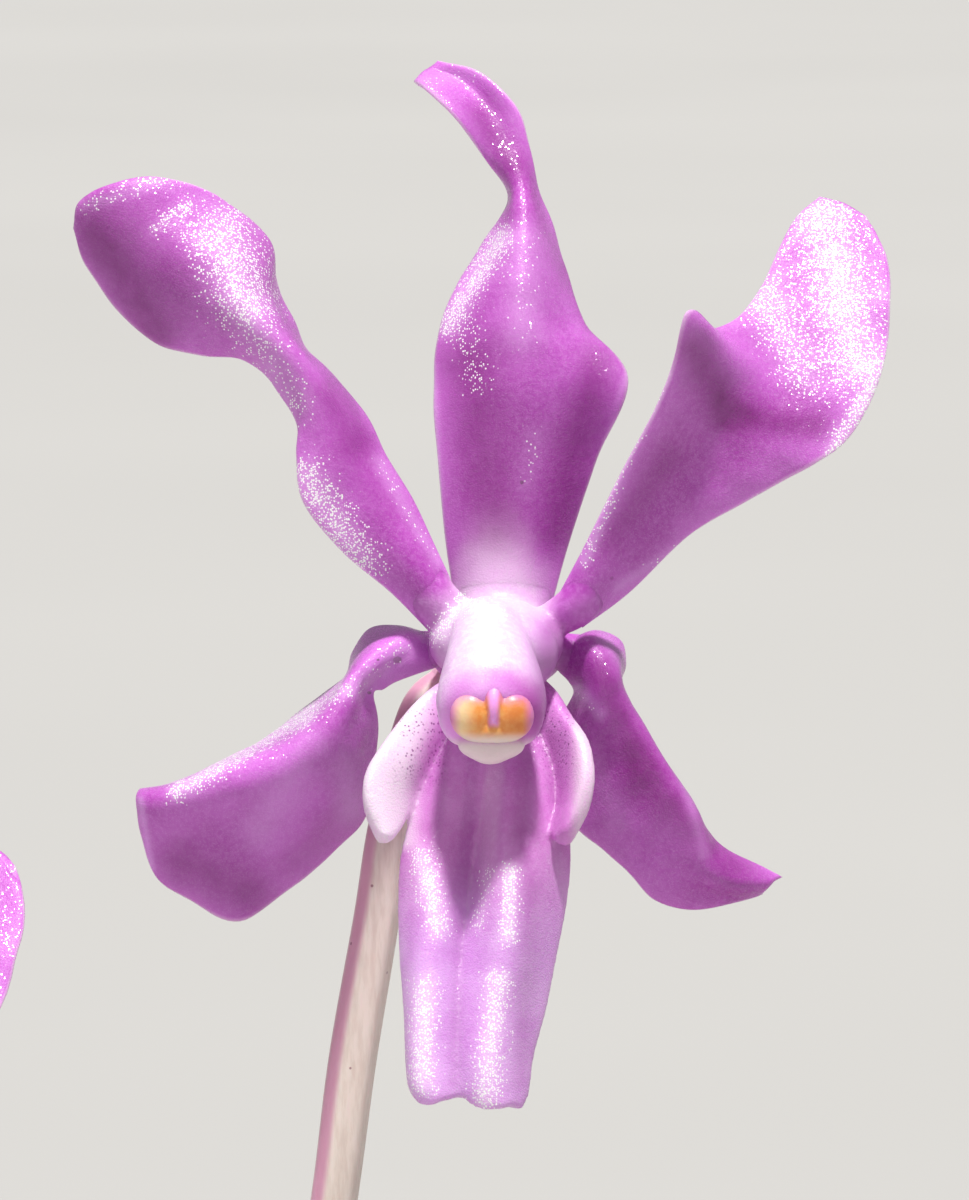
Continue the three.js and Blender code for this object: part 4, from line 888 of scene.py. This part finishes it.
def root_paint():
    paint = Paint("root_skin", 0.25)
    u, _, _ = paint.split(paint.leaf)
    fine = paint.noise(2.2, 5.0, 0.7)
    rings = paint.cells(0.5, at=paint.stretch((0.3, 0.3, 1.0)))
    paint.tone = paint.mix(fine.step(0.3, 0.7), (168, 170, 150), (214, 214, 200))
    paint.over(paint.noise(0.12, 4.0, 0.6).step(0.42, 0.66, 0.0, 0.65), (126, 140, 96))
    paint.over(rings.step(0.12, 0.04, 0.0, 0.5), (126, 106, 76))
    # green growing tip
    paint.over(u.step(0.90, 0.94), (122, 160, 70))
    paint.over(u.step(0.975, 1.0, 0.0, 0.6), (150, 90, 84))
    relief = fine * u.step(0.90, 0.94, 1.0, 0.2)
    return paint.finished(u.step(0.90, 0.94, 0.82, 0.35), relief=(relief, 0.25, 0.7))


def clay_paint():
    paint = Paint("fired_clay", 0.2)
    _, _, z = paint.split(paint.place)
    cloud = paint.noise(0.035, 5.0, 0.65, 0.4)
    fine = paint.noise(0.9, 5.0, 0.7)
    salt = paint.noise(0.055, 6.0, 0.75, 0.6, at=paint.stretch((1.0, 1.0, 0.7)))
    pits = paint.cells(0.8).step(0.1, 0.04)
    lines = paint.noise(1.0, 2.0, at=paint.stretch((0.02, 0.02, 1.6)))
    paint.tone = paint.mix(cloud.step(0.3, 0.7), (170, 92, 58), (196, 116, 78))
    paint.over(fine.step(0.4, 0.75, 0.0, 0.4), (214, 146, 108))
    paint.over(salt.step(0.52, 0.68) * z.step(58.0, 30.0, 0.35, 0.6), (222, 196, 176))
    damp = z.step(12.0, 0.0, 0.0, 0.5) + (cloud - 0.5)
    paint.over(damp.step(0.1, 0.5, 0.0, 0.55), (112, 62, 42))
    paint.over(pits * 0.6, (104, 54, 36))
    paint.over(z.step(62.6, 64.0) * fine.step(0.4, 0.6, 0.0, 0.6), (224, 162, 122))
    relief = fine * 0.5 + lines * 0.6 - pits
    return paint.finished(fine.step(0.3, 0.8, 0.78, 0.94), relief=(relief, 0.25, 0.5))


def bark_paint():
    paint = Paint("pine_bark", 0.2)
    own, _, _ = paint.split(paint.leaf)
    layers = paint.noise(9.0, 2.0, at=paint.leaf)
    fibre = paint.noise(0.8, 5.0, 0.7, 0.5, at=paint.stretch((0.6, 1.6, 3.2)))
    paint.tone = paint.mix(fibre.step(0.32, 0.68), (62, 38, 26), (134, 84, 54))
    paint.over(own.step(0.3, 1.0, 0.0, 0.6), (158, 98, 62))
    paint.over(layers.step(0.55, 0.75, 0.0, 0.4), (186, 132, 92))
    paint.over(fibre.step(0.36, 0.26, 0.0, 0.8), (30, 20, 16))
    return paint.finished(fibre.step(0.3, 0.7, 0.95, 0.75), relief=(fibre, 0.5, 0.8))


def moss_paint():
    paint = Paint("moss_skin", 0.2, flesh=(0.2, (0.5, 1.0, 0.2), 0.6))
    u, _, _ = paint.split(paint.leaf)
    cloud = paint.noise(0.6, 3.0)
    paint.tone = paint.mix(cloud.step(0.3, 0.7), (74, 92, 30), (122, 140, 52))
    paint.over(u.step(0.3, 1.0, 0.0, 0.6), (168, 180, 84))
    return paint.finished(cloud.step(0.3, 0.7, 0.7, 0.9))


# Blooms
TEPALS = dict(dorsal_sepal=DORSAL_SEPAL, left_petal=LEFT_PETAL, right_petal=RIGHT_PETAL,
              left_sepal=LEFT_SEPAL, right_sepal=RIGHT_SEPAL)


def tepal_grid(name, curves, us, vs):
    """Middle surface of a floral leaf, with the fine waves of its margin."""
    grid = surface(curves, us, vs)
    seed = sum(ord(letter) for letter in name)
    w = np.abs(2 * vs - 1)[None, :]
    far = smooth(us, 0.12, 0.3)[:, None]
    lift = 0.09 * ripple(grid, 3.2, seed) * w**3 + 0.025 * ripple(grid, 1.7, seed + 1)
    return grid + normals_of(grid) * (lift * far)[..., None]


def add_tepal(body, name, curves, rows, columns):
    us = length_steps(rows)
    vs = width_steps(columns)
    half = leaf_half(us, vs, middle=0.27, margin=0.12)
    return add_sheet(body, tepal_grid(name, curves, us, vs), half, us, vs)


def rooted(curves):
    """The curves carried on to the middle of the bloom."""
    return [[[curve[0][0] * 0.4, 2.6, curve[0][2] * 0.4], *curve] for curve in curves]


def lip_body(rows, columns, voxel, rounds):
    body = Body()
    us = length_steps(rows)
    vs = width_steps(columns)
    blade = surface(LIP_BLADE, us, vs)
    blade[..., 2] += 0.13 * ripple(blade, 1.2, 8) * smooth(us, 0.9, 1.0)[:, None]
    add_sheet(body, blade, leaf_half(us, vs, middle=0.42, margin=0.26, tip=0.985), us, vs)
    for lobe in (LEFT_LOBE, RIGHT_LOBE):
        half = leaf_half(us, vs, middle=0.42, margin=0.26, tip=0.93)
        add_sheet(body, surface(lobe, us, vs), half, us, vs)
    add_limb(body, SPUR, sides=20, steps=24, ends=(0.4, 0.9))
    return blended(body, voxel, rounds)


def hood_stations():
    """A bent rod round the anther cap, part of an oval that leans forward."""
    across = np.array([1.0, 0, 0])
    up = np.array([0, -0.45, 0.89])
    stations = []
    for angle in np.radians(np.linspace(-42, 222, 18)):
        point = np.array((-0.36, -4.4, -2.9)) + across * 1.7 * math.cos(angle) + up * 1.5 * math.sin(angle)
        stations.append([*point, 0.44, 0.44])
    return stations


def column_body(voxel, rounds):
    """Column, the fleshy middle of the bloom and the foot of each floral leaf, as one soft body."""
    body = Body()
    ridge = [[-0.55, 1.6, 1.0, 1.0, 0.8], [-0.55, 0.6, 0.75, 1.15, 1.0], [-0.5, -0.7, 0.2, 1.45, 1.4],
             [-0.4, -2.1, -0.8, 1.8, 1.75], [-0.35, -3.3, -1.8, 2.1, 1.95], [-0.35, -4.1, -2.55, 2.2, 1.95],
             [-0.35, -4.6, -2.9, 1.9, 1.6]]
    add_limb(body, ridge, sides=40, steps=40, ends=(0.5, 0.4))
    add_ball(body, (-0.15, 1.1, -0.15), (2.75, 1.7, 1.75))
    add_ball(body, (0.75, -0.1, -0.55), (1.6, 1.8, 1.55))
    add_ball(body, (0.2, -0.5, -0.5), (1.6, 1.7, 1.5))
    add_limb(body, hood_stations(), sides=14, steps=60, ends=(0.8, 0.8))
    add_ball(body, (-0.35, -4.65, -4.12), (1.4, 0.75, 0.66))
    add_ball(body, (-0.4, -4.75, -4.5), (0.75, 0.6, 0.42))
    add_ball(body, (-0.1, 3.6, -0.5), (2.8, 1.3, 1.7))
    add_ball(body, (0.0, 2.1, 0.35), (2.2, 0.8, 1.35))
    foot = 0.15
    columns = 15
    us = np.linspace(0, foot, 14)
    vs = width_steps(columns)
    narrow = 1 - 0.14 * smooth(us, 0.07, foot)[:, None, None]
    taper = np.clip(1.08 - us / foot, 0.1, 1)[:, None]
    half = np.maximum(leaf_half(us, vs, middle=0.8, margin=0.45) * taper, 0.05)
    for curves in TEPALS.values():
        grid = surface(rooted(curves), us, vs)
        middle = grid[:, columns // 2 : columns // 2 + 1]
        add_sheet(body, middle + (grid - middle) * narrow, half, us, vs)
    return blended(body, voxel, rounds)


def anther_body(voxel):
    body = Body()
    add_ball(body, (-1.12, -5.15, -2.95), (0.88, 0.68, 0.95))
    add_ball(body, (0.46, -5.15, -2.95), (0.88, 0.68, 0.95))
    add_ball(body, (-0.33, -4.85, -2.5), (1.5, 0.62, 0.95))
    add_ball(body, (-0.33, -5.05, -3.55), (1.35, 0.6, 0.55))
    ridge = [[-0.27, -4.9, -1.5, 0.55, 0.3], [-0.26, -5.4, -2.05, 0.42, 0.26],
             [-0.26, -5.72, -2.6, 0.26, 0.2], [-0.26, -5.74, -3.2, 0.13, 0.1]]
    add_limb(body, ridge, sides=12, steps=20, ends=(0.8, 0.8))
    return blended(body, voxel, rounds=8)


def ribs(count, depth, turns):
    """Lengthwise ribs for a limb, which wind round it."""
    return lambda u, angle: 1 + depth * np.cos(count * angle + turns * 2 * np.pi * u)


# The side blooms have less painted light and fewer painted glints on their floral leaves.
CALM_PAINTED_LIGHT = 0.5
CALM_PAINTED_GLINTS = 0.15
OVARY_RIBS = ribs(count=6, depth=0.045, turns=0.35)
BUD_RIBS = ribs(count=3, depth=0.05, turns=0.1)


def make_main_bloom(skins):
    place = pose(BLOOM_AT, (BLOOM_PITCH, 0, 0))
    for name, curves in TEPALS.items():
        body = add_tepal(Body(), name, curves, rows=110, columns=41)
        add_piece(name, body, skins["tepal"], place, TEPAL_PAINTED_SHADING)
    body = lip_body(rows=80, columns=41, voxel=0.11, rounds=8)
    add_piece("lip", body, skins["lip"], place, LIP_PAINTED_SHADING)
    add_piece("column", column_body(voxel=0.11, rounds=34), skins["column"], place, COLUMN_PAINTED_SHADING)
    add_piece("anther_cap", anther_body(voxel=0.06), skins["anther"], place)
    body = add_limb(Body(), HUB + PEDICEL, sides=36, steps=200, shape=OVARY_RIBS, ends=(0.3, 0.4))
    add_piece("pedicel", body, skins["pedicel"], place)


def make_side_blooms(skins):
    tepals = Body()
    for name, curves in TEPALS.items():
        add_tepal(tepals, name, rooted(curves), rows=50, columns=19)
    add_ball(tepals, (0, 2.8, 0.1), (1.9, 0.9, 1.5))
    calm = [(start, end, width, (deep, CALM_PAINTED_LIGHT * painted_light, CALM_PAINTED_GLINTS * painted_glints))
            for start, end, width, (deep, painted_light, painted_glints) in TEPAL_PAINTED_SHADING]
    parts = dict(
        tepals=(tepals, skins["tepal"], calm),
        lip=(lip_body(rows=40, columns=25, voxel=0.18, rounds=5), skins["lip"], LIP_PAINTED_SHADING),
        column=(column_body(voxel=0.18, rounds=14), skins["column"], COLUMN_PAINTED_SHADING),
    )
    anther = anther_body(voxel=0.11)
    for number, bloom in enumerate(SIDE_BLOOMS, 2):
        name = f"bloom_{number}"
        place = pose(bloom["at"], bloom["turn"], bloom["size"])
        for part, (body, skin, strokes) in parts.items():
            add_piece(f"{name}_{part}", body, skin, place, strokes)
        add_piece(f"{name}_anther", anther, skins["anther"], place, stands_for=[f"{name}_column"])
        rotation, at = place
        stations = [[*(rotation @ np.array(start[:3]) + at), *start[3:]] for start in SIDE_PEDICEL_START]
        stations += [[*point, 0.9, 0.9] for point in bloom["way"]]
        body = add_limb(Body(), stations, sides=20, steps=70, shape=OVARY_RIBS, ends=(0.9, 0.4))
        add_piece(f"{name}_pedicel", body, skins["pedicel"])


# Leaves and stem
def leaf_place(n):
    return (-1 if n % 2 else 1), LEAF["first"] + LEAF["step"] * n


def leaf_grid(n, ts, vs):
    """Strap leaf, folded to a V at its base, arching, its tip unevenly notched. Below 0, t is the sheath."""
    side, foot = leaf_place(n)
    age = n / (LEAF["count"] - 1)
    length = LEAF["longest"] + (TOP_LEAF["length"] - LEAF["longest"]) * age**1.5
    rise = math.radians(LOW_LEAF["rise"] + (TOP_LEAF["rise"] - LOW_LEAF["rise"]) * age)
    fall = math.radians(LOW_LEAF["fall"] + (TOP_LEAF["fall"] - LOW_LEAF["fall"]) * age)
    sway = (n % 3 - 1) * 4
    # midrib, which bends more and more, and runs straight on into the sheath
    part_rows = 11
    path_t = np.linspace(0, 1, part_rows + 1)
    path_angle = rise - fall * path_t**1.3
    steps = np.stack([np.cos(path_angle), np.sin(path_angle)], 1) * length / part_rows
    path = np.concatenate([[[0, 0]], np.cumsum(steps[1:], 0)])
    along_up = spline_weights(part_rows + 1, np.clip(ts, 0, 1)) @ path
    below = np.minimum(ts, 0)[:, None] * length
    along_up = along_up + below * np.array([math.cos(rise), math.sin(rise)])
    t = np.clip(ts, 0, 1)
    angle = (rise - fall * t**1.3)[:, None]
    # width, and the fold, which closes round the stem
    swell = 0.66 + 0.34 * np.sin(np.minimum(1, t * 2.6) * np.pi / 2)
    half = (LEAF["width"] * swell * (1 - 0.3 * t**4) * (1 + 6 * np.minimum(ts, 0)))[:, None]
    fold = np.radians(36 - 20 * t - 260 * np.minimum(ts, 0))[:, None]
    v = (2 * vs - 1)[None, :]
    lift = half * np.sin(fold) * np.abs(v) ** 1.25
    # two uneven teeth at the tip
    tip = np.clip((t - 1 + 1 / part_rows) * part_rows, 0, 1)[:, None]
    lobe = tip * (np.where(v < 0, 2.4, 1.2) * np.abs(v) - 1.4 * (1 - np.abs(v)))
    x = STEM["wide"] - LEAF["inset"] + along_up[:, :1] - lift * np.sin(angle) + lobe * np.cos(angle)
    y = half * np.cos(fold) * v + sway * (t * t)[:, None]
    z = foot + 1.2 + along_up[:, 1:] + lift * np.cos(angle) + lobe * np.sin(angle)
    return np.stack([side * x, side * y, z], -1)


def make_leaves(skin):
    vs = width_steps(25)
    ts = np.concatenate([np.linspace(-0.05, 0, 6)[:-1], length_steps(90)])
    half = leaf_half(ts, vs, middle=0.55, margin=0.3, tip=0.985)
    for n in range(LEAF["count"]):
        grid = leaf_grid(n, ts, vs)
        grid = grid + normals_of(grid) * (0.12 * ripple(grid, 14, n + 20))[..., None]
        add_piece(f"leaf_{n + 1}", add_sheet(Body(), grid, half, ts, vs), skin)


def stem_half_width(side, z):
    places = [leaf_place(n) for n in range(LEAF["count"])]
    above = next((p for p in places if p[0] == side and p[1] >= z - 1e-6), None)
    if z <= STEM["plain"] or above is None:
        return STEM["thin"]
    rise = min(1, max(0, 1 - (above[1] - z) / (2 * LEAF["step"] - 0.5)))
    return STEM["thin"] + (STEM["wide"] - STEM["thin"]) * rise


def make_stem(skin):
    angle = around(56)
    rings = []
    for z in np.arange(STEM["foot"], STEM["crown"] - 1.4, 0.3):
        half = np.where(np.cos(angle) >= 0, stem_half_width(1, z), stem_half_width(-1, z))
        keel = 1 + 0.05 * np.cos(2 * angle) ** 8
        fibres = 1 + 0.012 * np.cos(19 * angle + 0.5 * math.sin(z * 0.4))
        rings.append(level_ring(angle, half * keel * fibres, STEM["deep"] * fibres, z))
    for shrink, below in ((0.8, 1.2), (0.6, 0.5), (0.35, 0)):
        rings.append(level_ring(angle, STEM["thin"] * shrink, STEM["deep"] * shrink, STEM["crown"] - below))
    add_piece("stem", add_rings(Body(), np.array(rings)), skin)


def make_roots(skin):
    for n, stations in enumerate(ROOTS):
        def uneven(u, angle, n=n):
            points = level_ring(angle, 0.5, 0.5, u * 40)
            return 1 + 0.05 * ripple(points, 3.0, 60 + n) * (1 - smooth(u, 0.88, 0.95))
        body = add_limb(Body(), stations, sides=28, steps=150, shape=uneven, ends=(0.6, 1.1))
        add_piece(f"root_{n + 1}", body, skin)


def stalk_point(t, step=0.01):
    """Middle of the stalk, its direction and its radius."""
    near = spline_weights(len(STALK), [max(t - step, 0), t, min(t + step, 1)]) @ np.array(STALK, float)
    return near[1, :3], unit(near[2, :3] - near[0, :3]), near[1, 3]


def add_bract(body, t, outward, length):
    """A small pointed scale that clasps the stalk."""
    at, along, radius = stalk_point(t)
    outward = unit(np.array(outward, float) - along * (np.array(outward, float) @ along))
    across = np.cross(along, outward)
    us = length_steps(16)
    vs = width_steps(13)
    spread = np.radians(105) * (1 - us**1.6)[:, None] + 0.05
    angle = (2 * vs - 1)[None, :] * spread
    reach = (radius + 0.05 + 0.28 * length * us**2)[:, None]
    grid = at + along * (us * length)[:, None, None]
    grid = grid + outward * (reach * np.cos(angle))[..., None] + across * (reach * np.sin(angle))[..., None]
    add_sheet(body, grid, leaf_half(us, vs, middle=0.16, margin=0.08), us, vs)


def make_stalk(stalk_skin, bud_skin):
    body = add_limb(Body(), STALK, sides=28, steps=120, ends=(0.5, 0.5))
    for t, outward, length in BRACTS:
        add_bract(body, t, outward, length)
    add_piece("flower_stalk", body, stalk_skin)
    for n, stations in enumerate(BUDS):
        body = add_limb(Body(), stations, sides=30, steps=60, shape=BUD_RIBS, ends=(0.3, 0.8))
        add_piece(f"bud_{n + 1}", body, bud_skin)


# Pot and filling
POT_MIDDLE = 0.6


def pot_inner_radius(z):
    up = (z - POT["floor"]) / (POT["height"] - POT["floor"])
    return POT["base"] - POT["wall"] + (POT["rim"] - POT["base"] - POT["round"]) * up


def bow(start, stop, count, bulge=0.0):
    """Points from start up to stop, which is left out, bulging sideways in the middle."""
    ts = np.linspace(0, 1, count, endpoint=False)[:, None]
    line = np.array(start) + (np.array(stop) - np.array(start)) * ts
    return line + np.array([bulge, 0]) * np.sin(ts * np.pi)


def round_corner(centre, radius, start, stop, count=5):
    angle = np.radians(np.linspace(start, stop, count))
    return np.array(centre) + radius * np.stack([np.cos(angle), np.sin(angle)], 1)


def make_pot(skin):
    """The pot's outline is turned about its axis, and the drain holes are cut out of the floor."""
    top, r = POT["height"], POT["round"]
    shoulder = top - POT["band"]
    neck = POT["rim"] - 3
    inner = pot_inner_radius(top)
    floor = pot_inner_radius(POT["floor"])
    profile = np.concatenate([
        bow((POT_MIDDLE, 0), (POT["base"] - r, 0), 8),
        round_corner((POT["base"] - r, r), r, -90, -10),
        bow((POT["base"], r + 0.3), (neck, shoulder - r), 30, 0.15),
        round_corner((neck + 0.8, shoulder - 0.8), 0.8, 180, 90),
        round_corner((POT["rim"] - r, shoulder + r), r, -80, 0),
        bow((POT["rim"], shoulder + r + 0.2), (POT["rim"], top - r), 12, -0.25),
        round_corner((POT["rim"] - r, top - r), r, 0, 90),
        round_corner((inner + r, top - r), r, 90, 180),
        bow((inner, top - r - 0.3), (floor, POT["floor"] + r), 16),
        round_corner((floor - r, POT["floor"] + r), r, 0, -90),
        bow((floor - r - 0.3, POT["floor"]), (POT_MIDDLE, POT["floor"]), 6),
    ])
    angle = around(144)
    rings = np.stack([level_ring(angle, radius, radius, z) for radius, z in profile])
    wobble = 0.08 * ripple(rings, 30, 3) + 0.04 * np.sin(rings[..., 2] * 1.7)
    flat = rings * np.array([1, 1, 0])
    outward = unit(flat) * smooth(np.linalg.norm(flat, axis=-1), 5, 20)[..., None]
    piece = add_piece("pot", add_rings(Body(), rings + outward * wobble[..., None]), skin)
    cutter = Body()
    for n in range(DRAIN["count"]):
        turn = n / DRAIN["count"] * 2 * math.pi + math.pi / 2
        at = DRAIN["away"] * math.cos(turn), DRAIN["away"] * math.sin(turn)
        stations = [[*at, z, DRAIN["radius"], DRAIN["radius"]] for z in (-3, 7)]
        add_limb(cutter, stations, sides=32, steps=2)
    cut_away(piece, cutter)


def cut_away(piece, cutter):
    """Takes the cutter's forms out of a piece and keeps the result."""
    old = piece.data
    mesh = new_mesh("cutter", (np.array(cutter.points) * MM).tolist(), cutter.faces)
    thing = new_object("cutter", mesh)
    cut = piece.modifiers.new("cut", "BOOLEAN")
    cut.operation = "DIFFERENCE"
    cut.solver = "EXACT"
    cut.object = thing
    piece.data = with_modifiers(piece)
    piece.modifiers.clear()
    piece.data.name = piece.name
    write_layer(piece.data, "place", points_of(piece.data) / MM)
    bpy.data.meshes.remove(old)
    bpy.data.objects.remove(thing)
    bpy.data.meshes.remove(mesh)


def unit_block(cells):
    """Surface of a cube from -1 to 1, split into square faces."""
    index = {}
    points = []
    faces = []

    def corner(key):
        if key not in index:
            index[key] = len(points)
            points.append([2 * k / cells - 1 for k in key])
        return index[key]

    for axis in range(3):
        for end in (0, cells):
            for a in range(cells):
                for b in range(cells):
                    ring = []
                    for da, db in ((0, 0), (1, 0), (1, 1), (0, 1)):
                        key = [0, 0, 0]
                        key[axis] = end
                        key[(axis + 1) % 3] = a + da
                        key[(axis + 2) % 3] = b + db
                        ring.append(corner(tuple(key)))
                    faces.append(ring if end else ring[::-1])
    return np.array(points), faces


BLOCK = unit_block(6)


def add_chunk(body, draw, centre, size, tilt):
    """An irregular piece of bark with worn edges and flaking layers."""
    points, faces = BLOCK
    rounding = 1 - 0.1 * (points**2)[:, [1, 2, 0]] - 0.1 * (points**2)[:, [2, 0, 1]]
    shaped = points * rounding
    seed = draw.randrange(10**6)
    shaped = shaped * (1 + 0.16 * ripple(shaped, 2.4, seed)[:, None])
    shaped[:, 0] *= 1 + 0.22 * np.sign(points[:, 0]) * points[:, 1]
    layers = 0.05 * np.round(2.4 * ripple(shaped, 1.5, seed + 1))
    shaped = shaped * (1 + layers[:, None])
    shaped = shaped * np.array([size / 2, size * 0.35, size * 0.24])
    turned = Matrix.Rotation(draw.random() * 2 * math.pi, 3, "Z")
    turned = turned @ Matrix.Rotation((draw.random() - 0.5) * tilt, 3, "Y")
    turned = turned @ Matrix.Rotation((draw.random() - 0.5) * tilt, 3, "X")
    placed = shaped @ np.array(turned).T + np.array(centre)
    # inside the pot
    away = np.linalg.norm(placed[:, :2], axis=1)
    limit = pot_inner_radius(np.maximum(placed[:, 2], POT["floor"])) - BARK["slack"]
    placed[:, :2] *= (np.clip(away, 0, limit) / np.maximum(away, 1e-6))[:, None]
    # clear of the stem
    across = placed[:, 0] / (STEM["thin"] + 0.4)
    deep = placed[:, 1] / (STEM["deep"] + 0.4)
    inside = np.maximum(np.hypot(across, deep), 1e-3)
    placed[:, :2] *= np.where(inside < 1, 1 / inside, 1)[:, None]
    own = np.full((len(placed), 1), draw.random())
    body.add(placed, faces, np.concatenate([own, points[:, 1:3] * 0.5], 1))


def make_bark(skin):
    draw = random.Random(SEED)
    body = Body()
    angle = around(72)
    rings = []
    for z, share in ((POT["floor"] + 0.4, 0.9), (20, 1), (40, 1), (BARK["top"] - 4, 1)):
        radius = (pot_inner_radius(z) - BARK["slack"]) * share
        rings.append(level_ring(angle, radius, radius, z))
    for share in (0.85, 0.7, 0.5, 0.3, 0.14):
        radius = (pot_inner_radius(BARK["top"]) - 1) * share
        ring = level_ring(angle, radius, radius, BARK["top"] - 3.2)
        ring[:, 2] += 0.7 * ripple(ring, 6, 5)
        rings.append(ring)
    add_rings(body, np.array(rings))
    golden = math.pi * (3 - math.sqrt(5))
    for layer in BARK_LAYERS:
        for n in range(layer["count"]):
            away = layer["reach"] * math.sqrt((n + 0.5) / layer["count"])
            turn = n * golden + layer["turn"]
            size = BARK["chunk"] * (layer["least"] + layer["spread"] * draw.random())
            height = BARK["top"] + (draw.random() - layer["sink"]) * 2.4
            centre = (away * math.cos(turn), away * math.sin(turn), height)
            add_chunk(body, draw, centre, size, layer["tilt"])
    add_piece("bark_bed", body, skin)


def make_moss(skin):
    draw = random.Random(SEED + 1)
    body = Body()
    for _ in range(MOSS["tufts"]):
        turn = draw.random() * 2 * math.pi
        away = MOSS["nearest"] + MOSS["reach"] * draw.random()
        middle = np.array([away * math.cos(turn), away * math.sin(turn), BARK["top"] + 0.6])
        for _ in range(MOSS["shoots"]):
            lean = draw.random() * 2 * math.pi
            reach = MOSS["tuft"] * math.sqrt(draw.random())
            foot = middle + np.array([reach * math.cos(lean), reach * math.sin(lean), -0.12 * reach**2])
            tall = 1.0 + 1.3 * draw.random()
            out = np.array([math.cos(lean), math.sin(lean), 0]) * tall * (0.15 + 0.5 * draw.random())
            half_way = foot + np.array([0, 0, 0.55 * tall]) + out * 0.3
            end = foot + np.array([0, 0, 0.95 * tall]) + out
            stations = [[*(foot - [0, 0, 0.8]), 0.12, 0.12], [*half_way, 0.2, 0.14], [*end, 0.04, 0.04]]
            add_limb(body, stations, sides=5, steps=5)
    add_piece("moss", body, skin, stands_for=[])


# Stage, light and camera
FLOOR_HALF = 40.0
LENS = 225
CAMERA_AT = (-0.62, -300, 1.6)


def make_stage():
    corners = [(x * FLOOR_HALF, y * FLOOR_HALF, 0) for x, y in ((-1, -1), (1, -1), (1, 1), (-1, 1))]
    floor = new_object("floor", new_mesh("floor", corners, [(0, 1, 2, 3)]))
    paint = Paint("floor_paint", 0.1)
    cloud = paint.noise(3.0, 2.0, at=paint.node("TexCoord", {}).outputs["Object"])
    paint.tone = paint.mix(cloud, (172, 171, 169), (178, 177, 175))
    floor.data.materials.append(paint.finished(0.9))
    world = bpy.data.worlds.new("studio")
    world.use_nodes = True
    shade = world.node_tree.nodes["Background"]
    shade.inputs["Color"].default_value = rgb(240, 240, 242)
    shade.inputs["Strength"].default_value = 0.32
    bpy.context.scene.world = world
    bpy.context.scene.view_settings.view_transform = "Standard"


def add_lamp(name, kind, direction, energy, colour):
    lamp = bpy.data.lights.new(name, kind)
    lamp.energy = energy
    lamp.color = colour
    thing = new_object(name, lamp)
    thing.rotation_euler = direction.to_track_quat("Z", "Y").to_euler()
    return thing


def make_lights():
    key = add_lamp("key", "SUN", Vector((0.04, -0.14, 1.0)), 4.6, (1.0, 0.985, 0.96))
    key.data.angle = math.radians(5.5)
    away = Vector((-0.5, -1.0, 0.35)).normalized()
    fill = add_lamp("fill", "AREA", away, 1.7, (1.0, 1.0, 1.0))
    fill.data.size = 0.9
    fill.location = Vector(BLOOM_AT) * MM + away * 1.2


def make_camera():
    """The camera looks straight at the front of the main bloom."""
    rotation, at = pose(BLOOM_AT, (BLOOM_PITCH, 0, 0))
    lens = bpy.data.cameras.new("camera")
    lens.lens = LENS
    lens.sensor_width = 36
    lens.clip_start = 0.01
    lens.clip_end = 200
    camera = new_object("camera", lens)
    spot = (rotation @ np.array(CAMERA_AT) + at) * MM
    turned = Matrix((rotation @ np.array([[1, 0, 0], [0, 0, -1], [0, 1, 0]])).tolist())
    camera.matrix_world = Matrix.Translation(Vector(spot)) @ turned.to_4x4()
    bpy.context.scene.camera = camera


def build():
    blooms = dict(
        tepal=(tepal_paint(), "tepal_purple"), lip=(lip_paint(), "lip_lilac"),
        column=(column_paint(), "column_white"), anther=(anther_paint(), "anther_orange"),
        pedicel=(pedicel_paint(), "pedicel_pale"),
    )
    make_main_bloom(blooms)
    make_side_blooms(blooms)
    make_leaves((leaf_paint(), "leaf_green"))
    make_stem((stem_paint(), "stem_green"))
    make_roots((root_paint(), "root_silver"))
    make_stalk((stalk_paint(), "stalk_green"), (bud_paint(), "bud_mauve"))
    make_pot((clay_paint(), "clay"))
    make_bark((bark_paint(), "bark"))
    make_moss((moss_paint(), "stem_green"))
    make_stage()
    make_lights()
    make_camera()


build()
